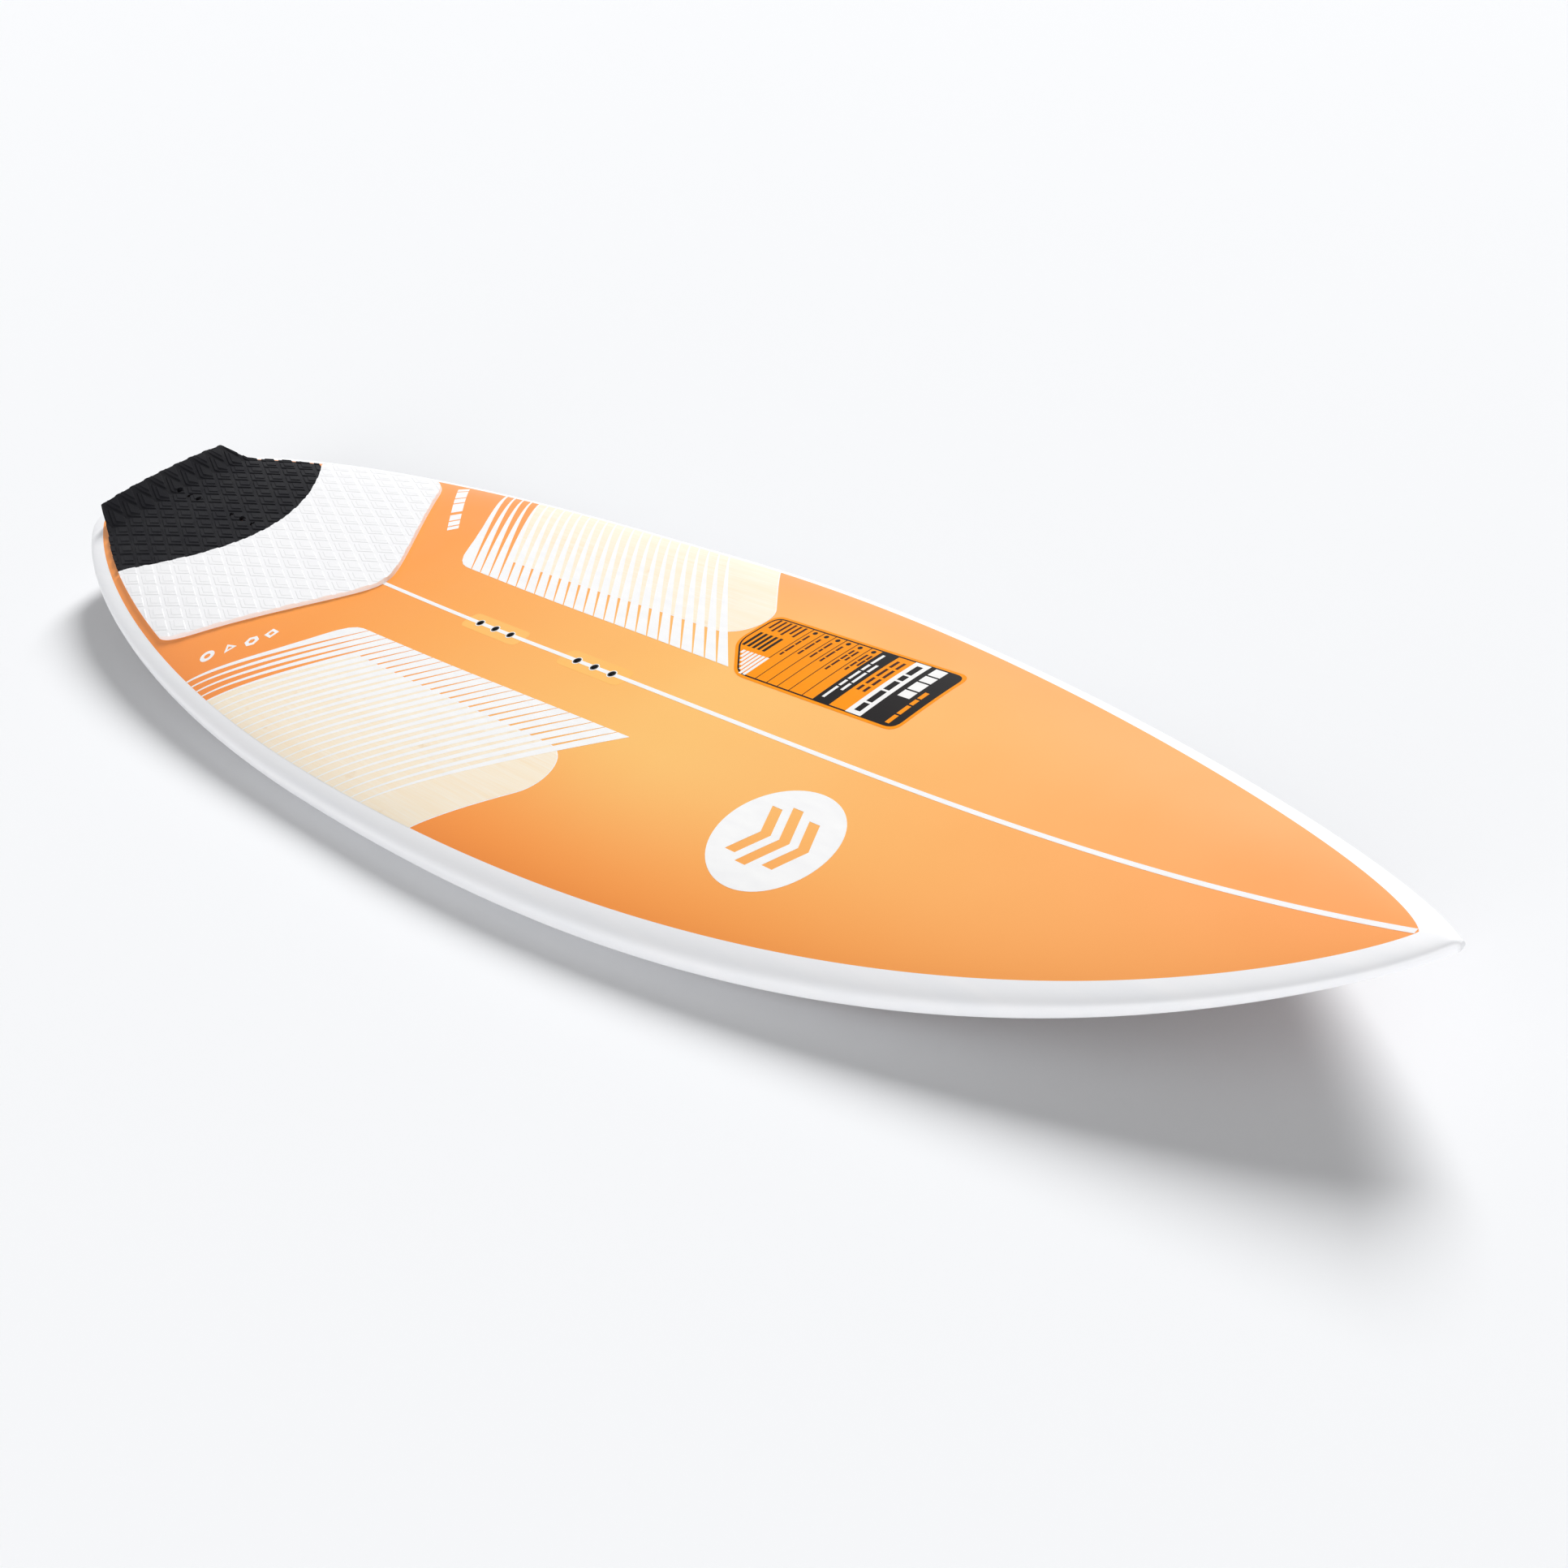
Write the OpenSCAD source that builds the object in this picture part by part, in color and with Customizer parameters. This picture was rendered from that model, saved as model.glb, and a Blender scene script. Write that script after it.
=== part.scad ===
// Directional surf kiteboard, built up as a foam core with a wooden stringer, composite skins,
// solid rails, strap inserts, fin boxes and a two-piece foam tail pad.
// X runs from tail to nose, Y to port and Z up. The origin is under the middle of the length,
// level with the lowest point of the bottom.

/* [Board] */
// Length from tail to nose tip
board_length = 1753; // [1500:1:2150]
// Width at the wide point
board_width = 485; // [400:1:600]
// Thickness at the low point of the rocker
board_thickness = 56; // [45:1:70]
// Wide point, ahead of the middle (negative is aft)
wide_x = -85; // [-150:1:50]
// Half width of the squash tail at its end
tail_half_width = 75; // [60:1:95]
// Half width of the nose tip
nose_tip_half = 3; // [2:0.5:6]
// Height of the bottom at the nose tip
nose_rocker = 92; // [60:1:140]
// Height of the bottom at the tail end
tail_rocker = 68; // [30:1:90]
// Thickness at the nose tip
nose_thickness = 9; // [7:0.5:16]
// Thickness at the tail end
tail_thickness = 21; // [16:0.5:28]

/* [Rails and paint line] */
// Width of the rail strip, measured in plan at the wide point
rail_width = 15; // [12:1:25]
// Width of the rail strip in plan at the tail corners
tail_rail_width = 25; // [18:1:35]
// Solid rail nose ahead of the deck's tip
nose_rail_length = 24.5; // [18:0.5:40]
// Solid rail behind the deck's tail end
tail_rail_length = 16; // [12:0.5:24]
// Height of the rail's widest line, as a share of the local thickness
rail_apex_share = 0.31; // [0.25:0.01:0.5]

/* [Laminate and core] */
// Thickness of the deck skin
deck_skin_t = 2.5; // [2:0.1:3.5]
// Thickness of the bottom skin
bottom_skin_t = 2; // [1.5:0.1:3]
// Thickness of the bamboo veneer let into the deck skin
veneer_t = 0.8; // [0.5:0.1:1.2]
// Thickness of the stringer
stringer_t = 4; // [3:0.5:6]

/* [Bamboo windows] */
// Inner edge of each window, from the centreline
window_inner_y = 99; // [85:1:120]
// Rear inner corner of each window, ahead of the middle
window_rear_x = -191; // [-220:1:-150]
// Centre of the round front corner, ahead of the middle
window_front_x = 136; // [110:1:138]
// Radius of the round front corner
window_corner_r = 32; // [20:1:45]
// How far the rear edge runs aft for each unit that it runs outwards
window_rake = 0.96; // [0.8:0.01:1.1]

/* [Strap inserts] */
// Middle of the front strap's aft trio, ahead of the middle
front_aft_x = -81.5; // [-110:0.5:-70]
// Middle of the front strap's fore trio, ahead of the middle
front_fore_x = 79; // [60:0.5:110]
// Middle of the rear strap's aft trio, from the tail end
rear_aft_from_tail = 121.5; // [115:0.5:130]
// Middle of the rear strap's fore trio, from the tail end
rear_fore_from_tail = 263.5; // [240:0.5:280]
// Distance between neighbouring inserts
insert_pitch = 26; // [24:0.5:28]
// Outer radius of an insert sleeve
sleeve_r = 6.5; // [6:0.1:7.5]
// Height of an insert sleeve
sleeve_h = 18; // [16:0.5:20]
// Outer radius of a threaded bush
bush_r = 4.5; // [4:0.1:5]
// Height of a threaded bush
bush_h = 14; // [10:0.5:16]
// Radius of the bush's threaded bore, M6 at its minor diameter
thread_r = 2.5; // [2:0.1:3]
// Radius of the hole in the deck skin over each insert
deck_hole_r = 3.7; // [3:0.1:4.5]
// Length of a block that holds three inserts
block_l = 95; // [84:1:110]
// Width of a block
block_w = 24; // [20:1:30]
// Depth of a block below the insert seats
block_depth = 21; // [19:0.5:23]

/* [Fin boxes] */
// Middle of the front fin boxes, from the tail end
front_fin_from_tail = 290; // [280:1:310]
// Middle of the rear fin boxes, from the tail end
rear_fin_from_tail = 160; // [150:1:165]
// Gap between the front boxes and the inner edge of the rail
front_fin_rail_gap = 1.5; // [1:0.5:12]
// Gap between the rear boxes and the inner edge of the rail
rear_fin_rail_gap = 5.5; // [1:0.5:12]
// Length of a fin box
fin_box_l = 126; // [118:1:129]
// Width of a fin box
fin_box_w = 16; // [14:0.5:20]
// Depth of a fin box
fin_box_h = 20; // [18:0.5:22]
// Length of the slot
slot_l = 92; // [80:1:94]
// Width of the slot
slot_w = 7; // [6:0.1:8]
// Depth of the slot
slot_h = 16; // [13:0.5:16.5]
// Toe-in of the boxes, in degrees
fin_toe = 2; // [0:0.5:3]
// Radius of a grub screw
grub_r = 2.5; // [2:0.1:3]
// Length of a grub screw
grub_h = 8; // [6:0.5:12]

/* [Tail pad] */
// Thickness of the pad
pad_t = 5; // [3:0.5:7]
// Front tip of the pad, from the tail end
pad_tip_from_tail = 590; // [560:1:620]
// Rear edge of the pad, from the tail end
pad_rear_from_tail = 58; // [54:1:64]
// Length of the sloping kick
kick_l = 34; // [26:1:42]
// Height of the kick above the deck
kick_h = 24; // [15:1:30]
// Bare deck between the pad and the rail
pad_margin = 10; // [6:1:16]
// How far the front edge runs aft for each unit that it runs outwards
pad_rake = 0.97; // [0.8:0.01:1.2]
// Softening of the pad's front tip
pad_tip_r = 22; // [10:1:40]
// Middle of the joint between the two pads, from the tail end
pad_joint_from_tail = 324; // [310:1:345]
// Radius of the bolt holes in the pad
pad_hole_r = 4; // [3.5:0.1:5]

/* [Deck sticker] */
// Rear edge of the sticker, ahead of the middle
sticker_rear_x = 172; // [172:1:200]
// Length of the sticker
sticker_l = 230; // [180:1:235]
// Inner edge of the sticker, from the centreline
sticker_inner_y = 51; // [40:1:55]
// Width of the sticker
sticker_w = 95; // [70:1:98]
// Cut across the sticker's rear inner corner
sticker_cut = 42; // [20:1:50]
// Thickness of the sticker
sticker_t = 0.3; // [0.2:0.05:0.5]

/* [Fits] */
// Radial clearance of a glued or screwed-in round piece
round_clearance = 0.05; // [0.02:0.01:0.1]

/* [Hidden] */

$fn = 48;
half_width_max = board_width / 2;
nose_x = board_length / 2;
tail_x = -board_length / 2;
deck_nose_x = nose_x - nose_rail_length;
deck_tail_x = tail_x + tail_rail_length;

// Low point of the rocker, where the board is thickest
low_x = -17;

// Powers that shape the outline, the rocker, the foil and the cross-section
nose_power = 2.52;
nose_round = 0.83;
tail_power = 2.08;
tail_round = 0.7;
paint_power = 2.39;
paint_round = 0.81;
nose_rocker_power = 3.95;
tail_rocker_power = 1.94;
foil_power = 2.6;
deck_power = 2.36;
bottom_power = 4.6;

// Rounding of the board's two ends in plan and in thickness
tail_corner_l = 30;
end_edge_l = 9;
end_power = 2.2;
tail_blunt = 0.45;
edge_blunt = 0.4;
deck_end_l = 34;
deck_end_power = 2.2;
deck_tip_half = 2;
apex_flat = 0.4;
skin_share = 0.25;

// Grid: stations along the board, columns across each half of the deck and rows round each rail
STATIONS = 46;
COLUMNS = [0, 0.24, 0.47, 0.68, 0.86, 1];
RAIL_ROWS = 6;
TAIL_END = [0, 0.12, 0.4, 0.7];
NOSE_END = [0.35, 0.62, 0.82, 0.93, 1];
stringer_half = stringer_t / 2;

// How far a cut or a cover area runs past what it has to clear, and the step along a drawn curve
reach = 40;
overrun = 1;
curve_step = 6;

function clamp01(a) = max(0, min(1, a));
function nose_run(x) = clamp01((x - wide_x) / (nose_x - wide_x));
function tail_run(x) = clamp01((wide_x - x) / (wide_x - tail_x));
function closing(d, l, blunt, power) =
    d >= l ? 1 : blunt + (1 - blunt) * pow(1 - pow(1 - max(d, 0) / l, power), 1 / power);

// Half width of the board at x
function outline(x) = x >= wide_x
    ? max(nose_tip_half, half_width_max * pow(1 - pow(nose_run(x), nose_power), nose_round))
    : (tail_half_width + (half_width_max - tail_half_width)
        * pow(1 - pow(tail_run(x), tail_power), tail_round))
        * closing(x - tail_x, tail_corner_l, tail_blunt, end_power);

// Half width of the deck inside the rails at x, which is 0 ahead of and behind the deck
deck_half_max = half_width_max - rail_width;
deck_half_tail = tail_half_width - tail_rail_width;
function deck_nose_half(x) = deck_half_max * pow(
    1 - pow(clamp01((x - wide_x) / (deck_nose_x - wide_x)), paint_power), paint_round);
function deck_tail_half(x) = (deck_half_tail + (deck_half_max - deck_half_tail)
    * pow(1 - pow(tail_run(x), tail_power), tail_round))
    * closing(x - deck_tail_x, deck_end_l, 0, deck_end_power);
function deck_half(x) = max(deck_tip_half, x >= wide_x ? deck_nose_half(x) : deck_tail_half(x));

// Height of the bottom's centreline, and the board's thickness
function rocker(x) = x >= low_x
    ? nose_rocker * pow((x - low_x) / (nose_x - low_x), nose_rocker_power)
    : tail_rocker * pow((low_x - x) / (low_x - tail_x), tail_rocker_power);
function foil(x) = board_thickness
    - (board_thickness - nose_thickness) * pow(clamp01((x - low_x) / (nose_x - low_x)), foil_power)
    - (board_thickness - tail_thickness) * pow(clamp01((low_x - x) / (low_x - tail_x)), foil_power);
function end_gap(x) = min(x - tail_x, nose_x - x);
function edge_share(x) = closing(end_gap(x), end_edge_l, edge_blunt, end_power);
function thickness(x) = foil(x) * edge_share(x);
function apex_z(x) = rocker(x) + rail_apex_share * foil(x);
function deck_rise(x) = (1 - rail_apex_share) * thickness(x);
function bottom_drop(x) = rail_apex_share * thickness(x);
function share_left(y, w, power) = pow(1 - pow(min(abs(y) / w, 1), power), 1 / power);
function deck_z(x, y) = apex_z(x) + deck_rise(x) * share_left(y, outline(x), deck_power);
function bottom_z(x, y) = apex_z(x) - bottom_drop(x) * share_left(y, outline(x), bottom_power);
function deck_skin_at(x) = min(deck_skin_t, skin_share * thickness(x));
function bottom_skin_at(x) = min(bottom_skin_t, skin_share * thickness(x));
function deck_inner_z(x, y) = deck_z(x, y) - deck_skin_at(x);
function bottom_inner_z(x, y) = bottom_z(x, y) + bottom_skin_at(x);

// Stations of the deck, closer together towards both ends, with one at each end of the kick
deck_mid = (deck_nose_x + deck_tail_x) / 2;
deck_reach = (deck_nose_x - deck_tail_x) / 2;
pad_rear_x = tail_x + pad_rear_from_tail;
kick_stations = [pad_rear_x, pad_rear_x + kick_l];
station_gap = 2;
function spaced(k) = deck_mid - deck_reach * cos(180 * k / STATIONS);
function kick_stations_after(k) = [for (x = kick_stations)
    if (k < STATIONS && x > spaced(k) + station_gap && x < spaced(k + 1) - station_gap) x];
deck_stations = [for (k = [0 : STATIONS]) each concat([spaced(k)], kick_stations_after(k))];
last_station = len(deck_stations) - 1;
tail_stations = [for (s = TAIL_END) tail_x + s * tail_rail_length];
nose_stations = [for (s = NOSE_END) deck_nose_x + s * nose_rail_length];
rail_stations = concat(tail_stations, deck_stations, nose_stations);

// Columns of one half of the deck, and of the whole deck, at x
function stringer_at(x) = min(stringer_half, deck_half(x) / 2);
function half_columns(x) =
    [for (f = COLUMNS) stringer_at(x) + (deck_half(x) - stringer_at(x)) * f];
function mirrored(list) = [for (i = [len(list) - 1 : -1 : 0]) -list[i]];
function full_columns(x) = concat(mirrored(half_columns(x)), half_columns(x));
function side_columns(x, side) = side > 0 ? half_columns(x) : mirrored(half_columns(x));

// A closed solid between an upper and a lower grid of points of the same size
module slab(upper, lower) {
    rows = len(upper);
    cols = len(upper[0]);
    count = rows * cols;
    points = concat([for (row = upper) for (p = row) p], [for (row = lower) for (p = row) p]);
    function at(i, j) = i * cols + j;
    top = [for (i = [0 : rows - 2]) for (j = [0 : cols - 2])
        each [[at(i, j), at(i + 1, j + 1), at(i + 1, j)], [at(i, j), at(i, j + 1), at(i + 1, j + 1)]]];
    bottom = [for (t = top) [t[0] + count, t[2] + count, t[1] + count]];
    sides = [for (i = [0 : rows - 2]) each [
        [at(i, 0), at(i + 1, 0), at(i + 1, 0) + count],
        [at(i, 0), at(i + 1, 0) + count, at(i, 0) + count],
        [at(i, cols - 1), at(i + 1, cols - 1) + count, at(i + 1, cols - 1)],
        [at(i, cols - 1), at(i, cols - 1) + count, at(i + 1, cols - 1) + count]]];
    last = rows - 1;
    ends = [for (j = [0 : cols - 2]) each [
        [at(0, j), at(0, j + 1) + count, at(0, j + 1)],
        [at(0, j), at(0, j) + count, at(0, j + 1) + count],
        [at(last, j), at(last, j + 1), at(last, j + 1) + count],
        [at(last, j), at(last, j + 1) + count, at(last, j) + count]]];
    polyhedron(points = points, faces = concat(top, bottom, sides, ends));
}

// Deck stations that reach past both x limits
function stations_over(x_min, x_max) = [for (k = [0 : last_station])
    if (deck_stations[min(k + 1, last_station)] > x_min && deck_stations[max(k - 1, 0)] < x_max)
        deck_stations[k]];

// The hull's layers
module deck_shell() {
    slab([for (x = deck_stations) [for (y = full_columns(x)) [x, y, deck_z(x, y)]]],
        [for (x = deck_stations) [for (y = full_columns(x)) [x, y, deck_inner_z(x, y)]]]);
}

module bottom_shell() {
    slab([for (x = deck_stations) [for (y = full_columns(x)) [x, y, bottom_inner_z(x, y)]]],
        [for (x = deck_stations) [for (y = full_columns(x)) [x, y, bottom_z(x, y)]]]);
}

module core_half(side) {
    slab([for (x = deck_stations) [for (y = side_columns(x, side)) [x, y, deck_inner_z(x, y)]]],
        [for (x = deck_stations) [for (y = side_columns(x, side)) [x, y, bottom_inner_z(x, y)]]]);
}

module core_stretch(x_min, x_max) {
    places = stations_over(x_min, x_max);
    slab([for (x = places) [for (y = full_columns(x)) [x, y, deck_inner_z(x, y)]]],
        [for (x = places) [for (y = full_columns(x)) [x, y, bottom_inner_z(x, y)]]]);
}

module stringer_strip() {
    slab([for (x = deck_stations)
            [for (y = [-stringer_at(x), stringer_at(x)]) [x, y, deck_inner_z(x, y)]]],
        [for (x = deck_stations)
            [for (y = [-stringer_at(x), stringer_at(x)]) [x, y, bottom_inner_z(x, y)]]]);
}

// One rail: a band from the deck's edge round the apex to the bottom's edge
function rail_start(x) = x >= deck_tail_x && x <= deck_nose_x ? deck_half(x) : 0;
function start_angle(x, power) = asin(pow(rail_start(x) / outline(x), power / 2));
function rail_angle(x, j, power) =
    start_angle(x, power) + (90 - start_angle(x, power)) * j / RAIL_ROWS;
function rail_y(x, j, power) = j == 0 ? rail_start(x)
    : outline(x) * pow(sin(rail_angle(x, j, power)), 2 / power);
function rail_top(x, j) = let (y = rail_y(x, j, deck_power))
    [x, y, j == RAIL_ROWS ? apex_z(x) + apex_flat : max(deck_z(x, y), apex_z(x) + apex_flat)];
function rail_under(x, j) = let (y = rail_y(x, j, bottom_power))
    [x, y, j == RAIL_ROWS ? apex_z(x) - apex_flat : min(bottom_z(x, y), apex_z(x) - apex_flat)];

module rail_band() {
    slab([for (x = rail_stations) [for (j = [0 : RAIL_ROWS]) rail_top(x, j)]],
        [for (x = rail_stations) [for (j = [0 : RAIL_ROWS]) rail_under(x, j)]]);
}

// A stretch of the outer veneer on one side of the deck
module veneer_layer(x_min, x_max, side) {
    places = stations_over(x_min, x_max);
    slab([for (x = places) [for (y = side_columns(x, side)) [x, y, deck_z(x, y)]]],
        [for (x = places) [for (y = side_columns(x, side)) [x, y, deck_z(x, y) - veneer_t]]]);
}

// Outline of one bamboo window in plan
window_outer_y = half_width_max + reach;
function window_rear(y) = window_rear_x - window_rake * (y - window_inner_y);
window_corner_y = window_inner_y + window_corner_r;
window_outline = concat(
    [[window_rear(window_outer_y), window_outer_y], [window_rear(window_inner_y), window_inner_y]],
    [for (a = [-90 : 9 : 45])
        [window_front_x + window_corner_r * cos(a), window_corner_y + window_corner_r * sin(a)]],
    [[window_front_x + window_corner_r * cos(45)
        - (window_outer_y - window_corner_y - window_corner_r * sin(45)), window_outer_y]]);

module on_side(side) {
    if (side > 0) children();
    else mirror([0, 1, 0]) children();
}

module bamboo_window(side) {
    color("wheat") intersection() {
        veneer_layer(window_rear(half_width_max), window_front_x + window_corner_r, side);
        on_side(side)
            linear_extrude(height = board_thickness + nose_rocker)
                polygon(window_outline);
    }
}

// Strap inserts: a block, three sleeves and three threaded bushes for each end of a strap
trio_front_fore = front_fore_x;
trio_front_aft = front_aft_x;
trio_rear_fore = tail_x + rear_fore_from_tail;
trio_rear_aft = tail_x + rear_aft_from_tail;
TRIOS = [trio_front_fore, trio_front_aft, trio_rear_fore, trio_rear_aft];
INSERT_STEPS = [-1, 0, 1];
block_corner_r = 8;
skin_gap = 0.3;

function insert_x(trio, step) = trio + step * insert_pitch;
function seat_z(trio) = min([for (s = [-1, 1])
    deck_inner_z(insert_x(trio, s) + s * sleeve_r, 0)]) - skin_gap;
function block_floor_z(trio) = seat_z(trio) - block_depth;

module rounded_plate(l, w, r) {
    square([l - 2 * r, w], center = true);
    square([l, w - 2 * r], center = true);
    for (sx = [-1, 1], sy = [-1, 1]) translate([sx * (l / 2 - r), sy * (w / 2 - r)]) circle(r);
}

module block_space(trio) {
    translate([trio, 0, block_floor_z(trio)])
        linear_extrude(height = board_thickness + reach)
            rounded_plate(block_l, block_w, block_corner_r);
}

module insert_block(trio) {
    color("orange") difference() {
        intersection() {
            core_stretch(trio - block_l / 2, trio + block_l / 2);
            block_space(trio);
        }
        for (step = INSERT_STEPS)
            translate([insert_x(trio, step), 0, seat_z(trio) - sleeve_h])
                cylinder(r = sleeve_r + round_clearance, h = sleeve_h + reach);
    }
}

module insert_sleeves(trio) {
    color("black") for (step = INSERT_STEPS)
        translate([insert_x(trio, step), 0, seat_z(trio) - sleeve_h]) difference() {
            cylinder(r = sleeve_r, h = sleeve_h);
            translate([0, 0, sleeve_h - bush_h])
                cylinder(r = bush_r + round_clearance, h = bush_h + overrun);
        }
}

module threaded_bushes(trio) {
    color("silver") for (step = INSERT_STEPS)
        translate([insert_x(trio, step), 0, seat_z(trio) - bush_h]) difference() {
            cylinder(r = bush_r, h = bush_h);
            translate([0, 0, -overrun]) cylinder(r = thread_r, h = bush_h + 2 * overrun);
        }
}

module insert_holes(r) {
    for (trio = TRIOS, step = INSERT_STEPS)
        translate([insert_x(trio, step), 0, seat_z(trio)])
            cylinder(r = r, h = kick_h + reach);
}

// Fin boxes: each lies along the bottom, leans with the rocker and toes in
front_fin_x = tail_x + front_fin_from_tail;
rear_fin_x = tail_x + rear_fin_from_tail;

// The rear outer corner of a box is the one nearest the rail
function fin_y(x, rail_gap) =
    deck_half(x - fin_box_l / 2) - rail_gap - fin_box_w / 2 - fin_box_l / 2 * sin(fin_toe);
FRONT_FIN = [front_fin_x, fin_y(front_fin_x, front_fin_rail_gap)];
REAR_FIN = [rear_fin_x, fin_y(rear_fin_x, rear_fin_rail_gap)];
slope_step = 20;
mouth_inset = 0.4;
screw_x = (fin_box_l / 2 + slot_l / 2) / 2;
screw_head_z = 2;
box_end_flat = 1;
slot_end_flat = 0.5;
socket_r = grub_r / 2;
socket_h = grub_h / 3;

function fin_pitch(x) = atan((rocker(x - slope_step) - rocker(x + slope_step)) / (2 * slope_step));

module at_fin(place, side) {
    translate([place[0], side * place[1], bottom_z(place[0], place[1]) + mouth_inset])
        rotate([0, fin_pitch(place[0]), -side * fin_toe])
            children();
}

module fin_envelope(drop) {
    translate([0, 0, -drop])
        linear_extrude(height = fin_box_h + drop)
            rounded_plate(fin_box_l, fin_box_w, fin_box_w / 2 - box_end_flat);
}

module fin_box(place, side) {
    color("dimgray") at_fin(place, side) difference() {
        fin_envelope(0);
        translate([0, 0, -overrun])
            linear_extrude(height = slot_h + overrun)
                rounded_plate(slot_l, slot_w, slot_w / 2 - slot_end_flat);
        for (s = [-1, 1])
            translate([s * screw_x, 0, -overrun])
                cylinder(r = grub_r + round_clearance, h = screw_head_z + grub_h + overrun);
    }
}

module fin_screws(place, side) {
    color("silver") at_fin(place, side) for (s = [-1, 1])
        translate([s * screw_x, 0, screw_head_z]) difference() {
            cylinder(r = grub_r, h = grub_h);
            translate([0, 0, -overrun]) cylinder(r = socket_r, h = socket_h + overrun, $fn = 6);
        }
}

module fin_pockets() {
    for (place = [FRONT_FIN, REAR_FIN], side = [-1, 1]) at_fin(place, side) fin_envelope(reach);
}

// Tail pad: two sheets that follow the deck, the rear one with a sloping kick
pad_tip_x = tail_x + pad_tip_from_tail;
pad_joint_x = tail_x + pad_joint_from_tail;
pad_joint_bow = 0.0056;

function pad_side_y(x) = deck_half(x) - pad_margin;
function pad_front_x(y) = pad_tip_x - pad_rake * (sqrt(y * y + pad_tip_r * pad_tip_r) - pad_tip_r);
function pad_joint_at(y) = pad_joint_x - pad_joint_bow * y * y;
function kick_run(x) = clamp01((pad_rear_x + kick_l - x) / kick_l);
function pad_thickness(x) = pad_t + (kick_h - pad_t) * kick_run(x);

module pad_sheet(x_min, x_max) {
    places = stations_over(x_min, x_max);
    slab([for (x = places) [for (y = full_columns(x)) [x, y, deck_z(x, y) + pad_thickness(x)]]],
        [for (x = places) [for (y = full_columns(x)) [x, y, deck_z(x, y)]]]);
}

// Plan areas: inside the pad's margin, behind its front edge, and behind the joint
module pad_area() {
    side = [for (x = [pad_rear_x : curve_step : pad_tip_x]) [x, pad_side_y(x)]];
    mirror_side = [for (i = [len(side) - 1 : -1 : 0]) [side[i][0], -side[i][1]]];
    polygon(concat(side, mirror_side));
}

module pad_front_area() {
    front = [for (y = [-half_width_max : curve_step : half_width_max]) [pad_front_x(y), y]];
    polygon(concat([[tail_x, -half_width_max]], front, [[tail_x, half_width_max]]));
}

module pad_joint_area() {
    joint = [for (y = [-half_width_max : curve_step : half_width_max]) [pad_joint_at(y), y]];
    polygon(concat([[tail_x - reach, -half_width_max]], joint, [[tail_x - reach, half_width_max]]));
}

// Deck sticker
sticker_outline = [
    [sticker_rear_x + sticker_cut, sticker_inner_y],
    [sticker_rear_x + sticker_l, sticker_inner_y],
    [sticker_rear_x + sticker_l, sticker_inner_y + sticker_w],
    [sticker_rear_x, sticker_inner_y + sticker_w],
    [sticker_rear_x, sticker_inner_y + sticker_cut]
];

module foam_core(side) {
    color("ivory") difference() {
        core_half(side);
        for (trio = TRIOS) block_space(trio);
        fin_pockets();
    }
}

module stringer() {
    color("burlywood") difference() {
        stringer_strip();
        for (trio = TRIOS) block_space(trio);
    }
}

module deck_skin() {
    color("darkorange") difference() {
        deck_shell();
        for (side = [-1, 1]) bamboo_window(side);
        insert_holes(deck_hole_r);
    }
}

module bottom_skin() {
    color("firebrick") difference() {
        bottom_shell();
        fin_pockets();
    }
}

module rail(side) {
    color("white") on_side(side) rail_band();
}

module pad_front() {
    color("whitesmoke") intersection() {
        pad_sheet(pad_joint_at(half_width_max), pad_tip_x);
        linear_extrude(height = board_thickness + tail_rocker + kick_h) difference() {
            intersection() {
                pad_area();
                pad_front_area();
            }
            pad_joint_area();
        }
    }
}

module pad_rear() {
    color("dimgray") difference() {
        intersection() {
            pad_sheet(pad_rear_x, pad_joint_x);
            linear_extrude(height = board_thickness + tail_rocker + kick_h) intersection() {
                pad_area();
                pad_joint_area();
            }
        }
        insert_holes(pad_hole_r);
    }
}

module deck_sticker() {
    places = stations_over(sticker_rear_x, sticker_rear_x + sticker_l);
    color("orange") intersection() {
        slab([for (x = places) [for (y = half_columns(x)) [x, y, deck_z(x, y) + sticker_t]]],
            [for (x = places) [for (y = half_columns(x)) [x, y, deck_z(x, y)]]]);
        linear_extrude(height = board_thickness + nose_rocker) polygon(sticker_outline);
    }
}

foam_core(1);  // foam_core_port
foam_core(-1);  // foam_core_starboard
stringer();
deck_skin();
bottom_skin();
rail(1);  // rail_port
rail(-1);  // rail_starboard
bamboo_window(1);  // bamboo_window_port
bamboo_window(-1);  // bamboo_window_starboard
insert_block(trio_front_fore);  // insert_block_front_fore
insert_block(trio_front_aft);  // insert_block_front_aft
insert_block(trio_rear_fore);  // insert_block_rear_fore
insert_block(trio_rear_aft);  // insert_block_rear_aft
insert_sleeves(trio_front_fore);  // insert_sleeves_front_fore
insert_sleeves(trio_front_aft);  // insert_sleeves_front_aft
insert_sleeves(trio_rear_fore);  // insert_sleeves_rear_fore
insert_sleeves(trio_rear_aft);  // insert_sleeves_rear_aft
threaded_bushes(trio_front_fore);  // threaded_bushes_front_fore
threaded_bushes(trio_front_aft);  // threaded_bushes_front_aft
threaded_bushes(trio_rear_fore);  // threaded_bushes_rear_fore
threaded_bushes(trio_rear_aft);  // threaded_bushes_rear_aft
fin_box(FRONT_FIN, 1);  // fin_box_front_port
fin_box(FRONT_FIN, -1);  // fin_box_front_starboard
fin_box(REAR_FIN, 1);  // fin_box_rear_port
fin_box(REAR_FIN, -1);  // fin_box_rear_starboard
fin_screws(FRONT_FIN, 1);  // fin_screws_front_port
fin_screws(FRONT_FIN, -1);  // fin_screws_front_starboard
fin_screws(REAR_FIN, 1);  // fin_screws_rear_port
fin_screws(REAR_FIN, -1);  // fin_screws_rear_starboard
pad_front();
pad_rear();
deck_sticker();
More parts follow.
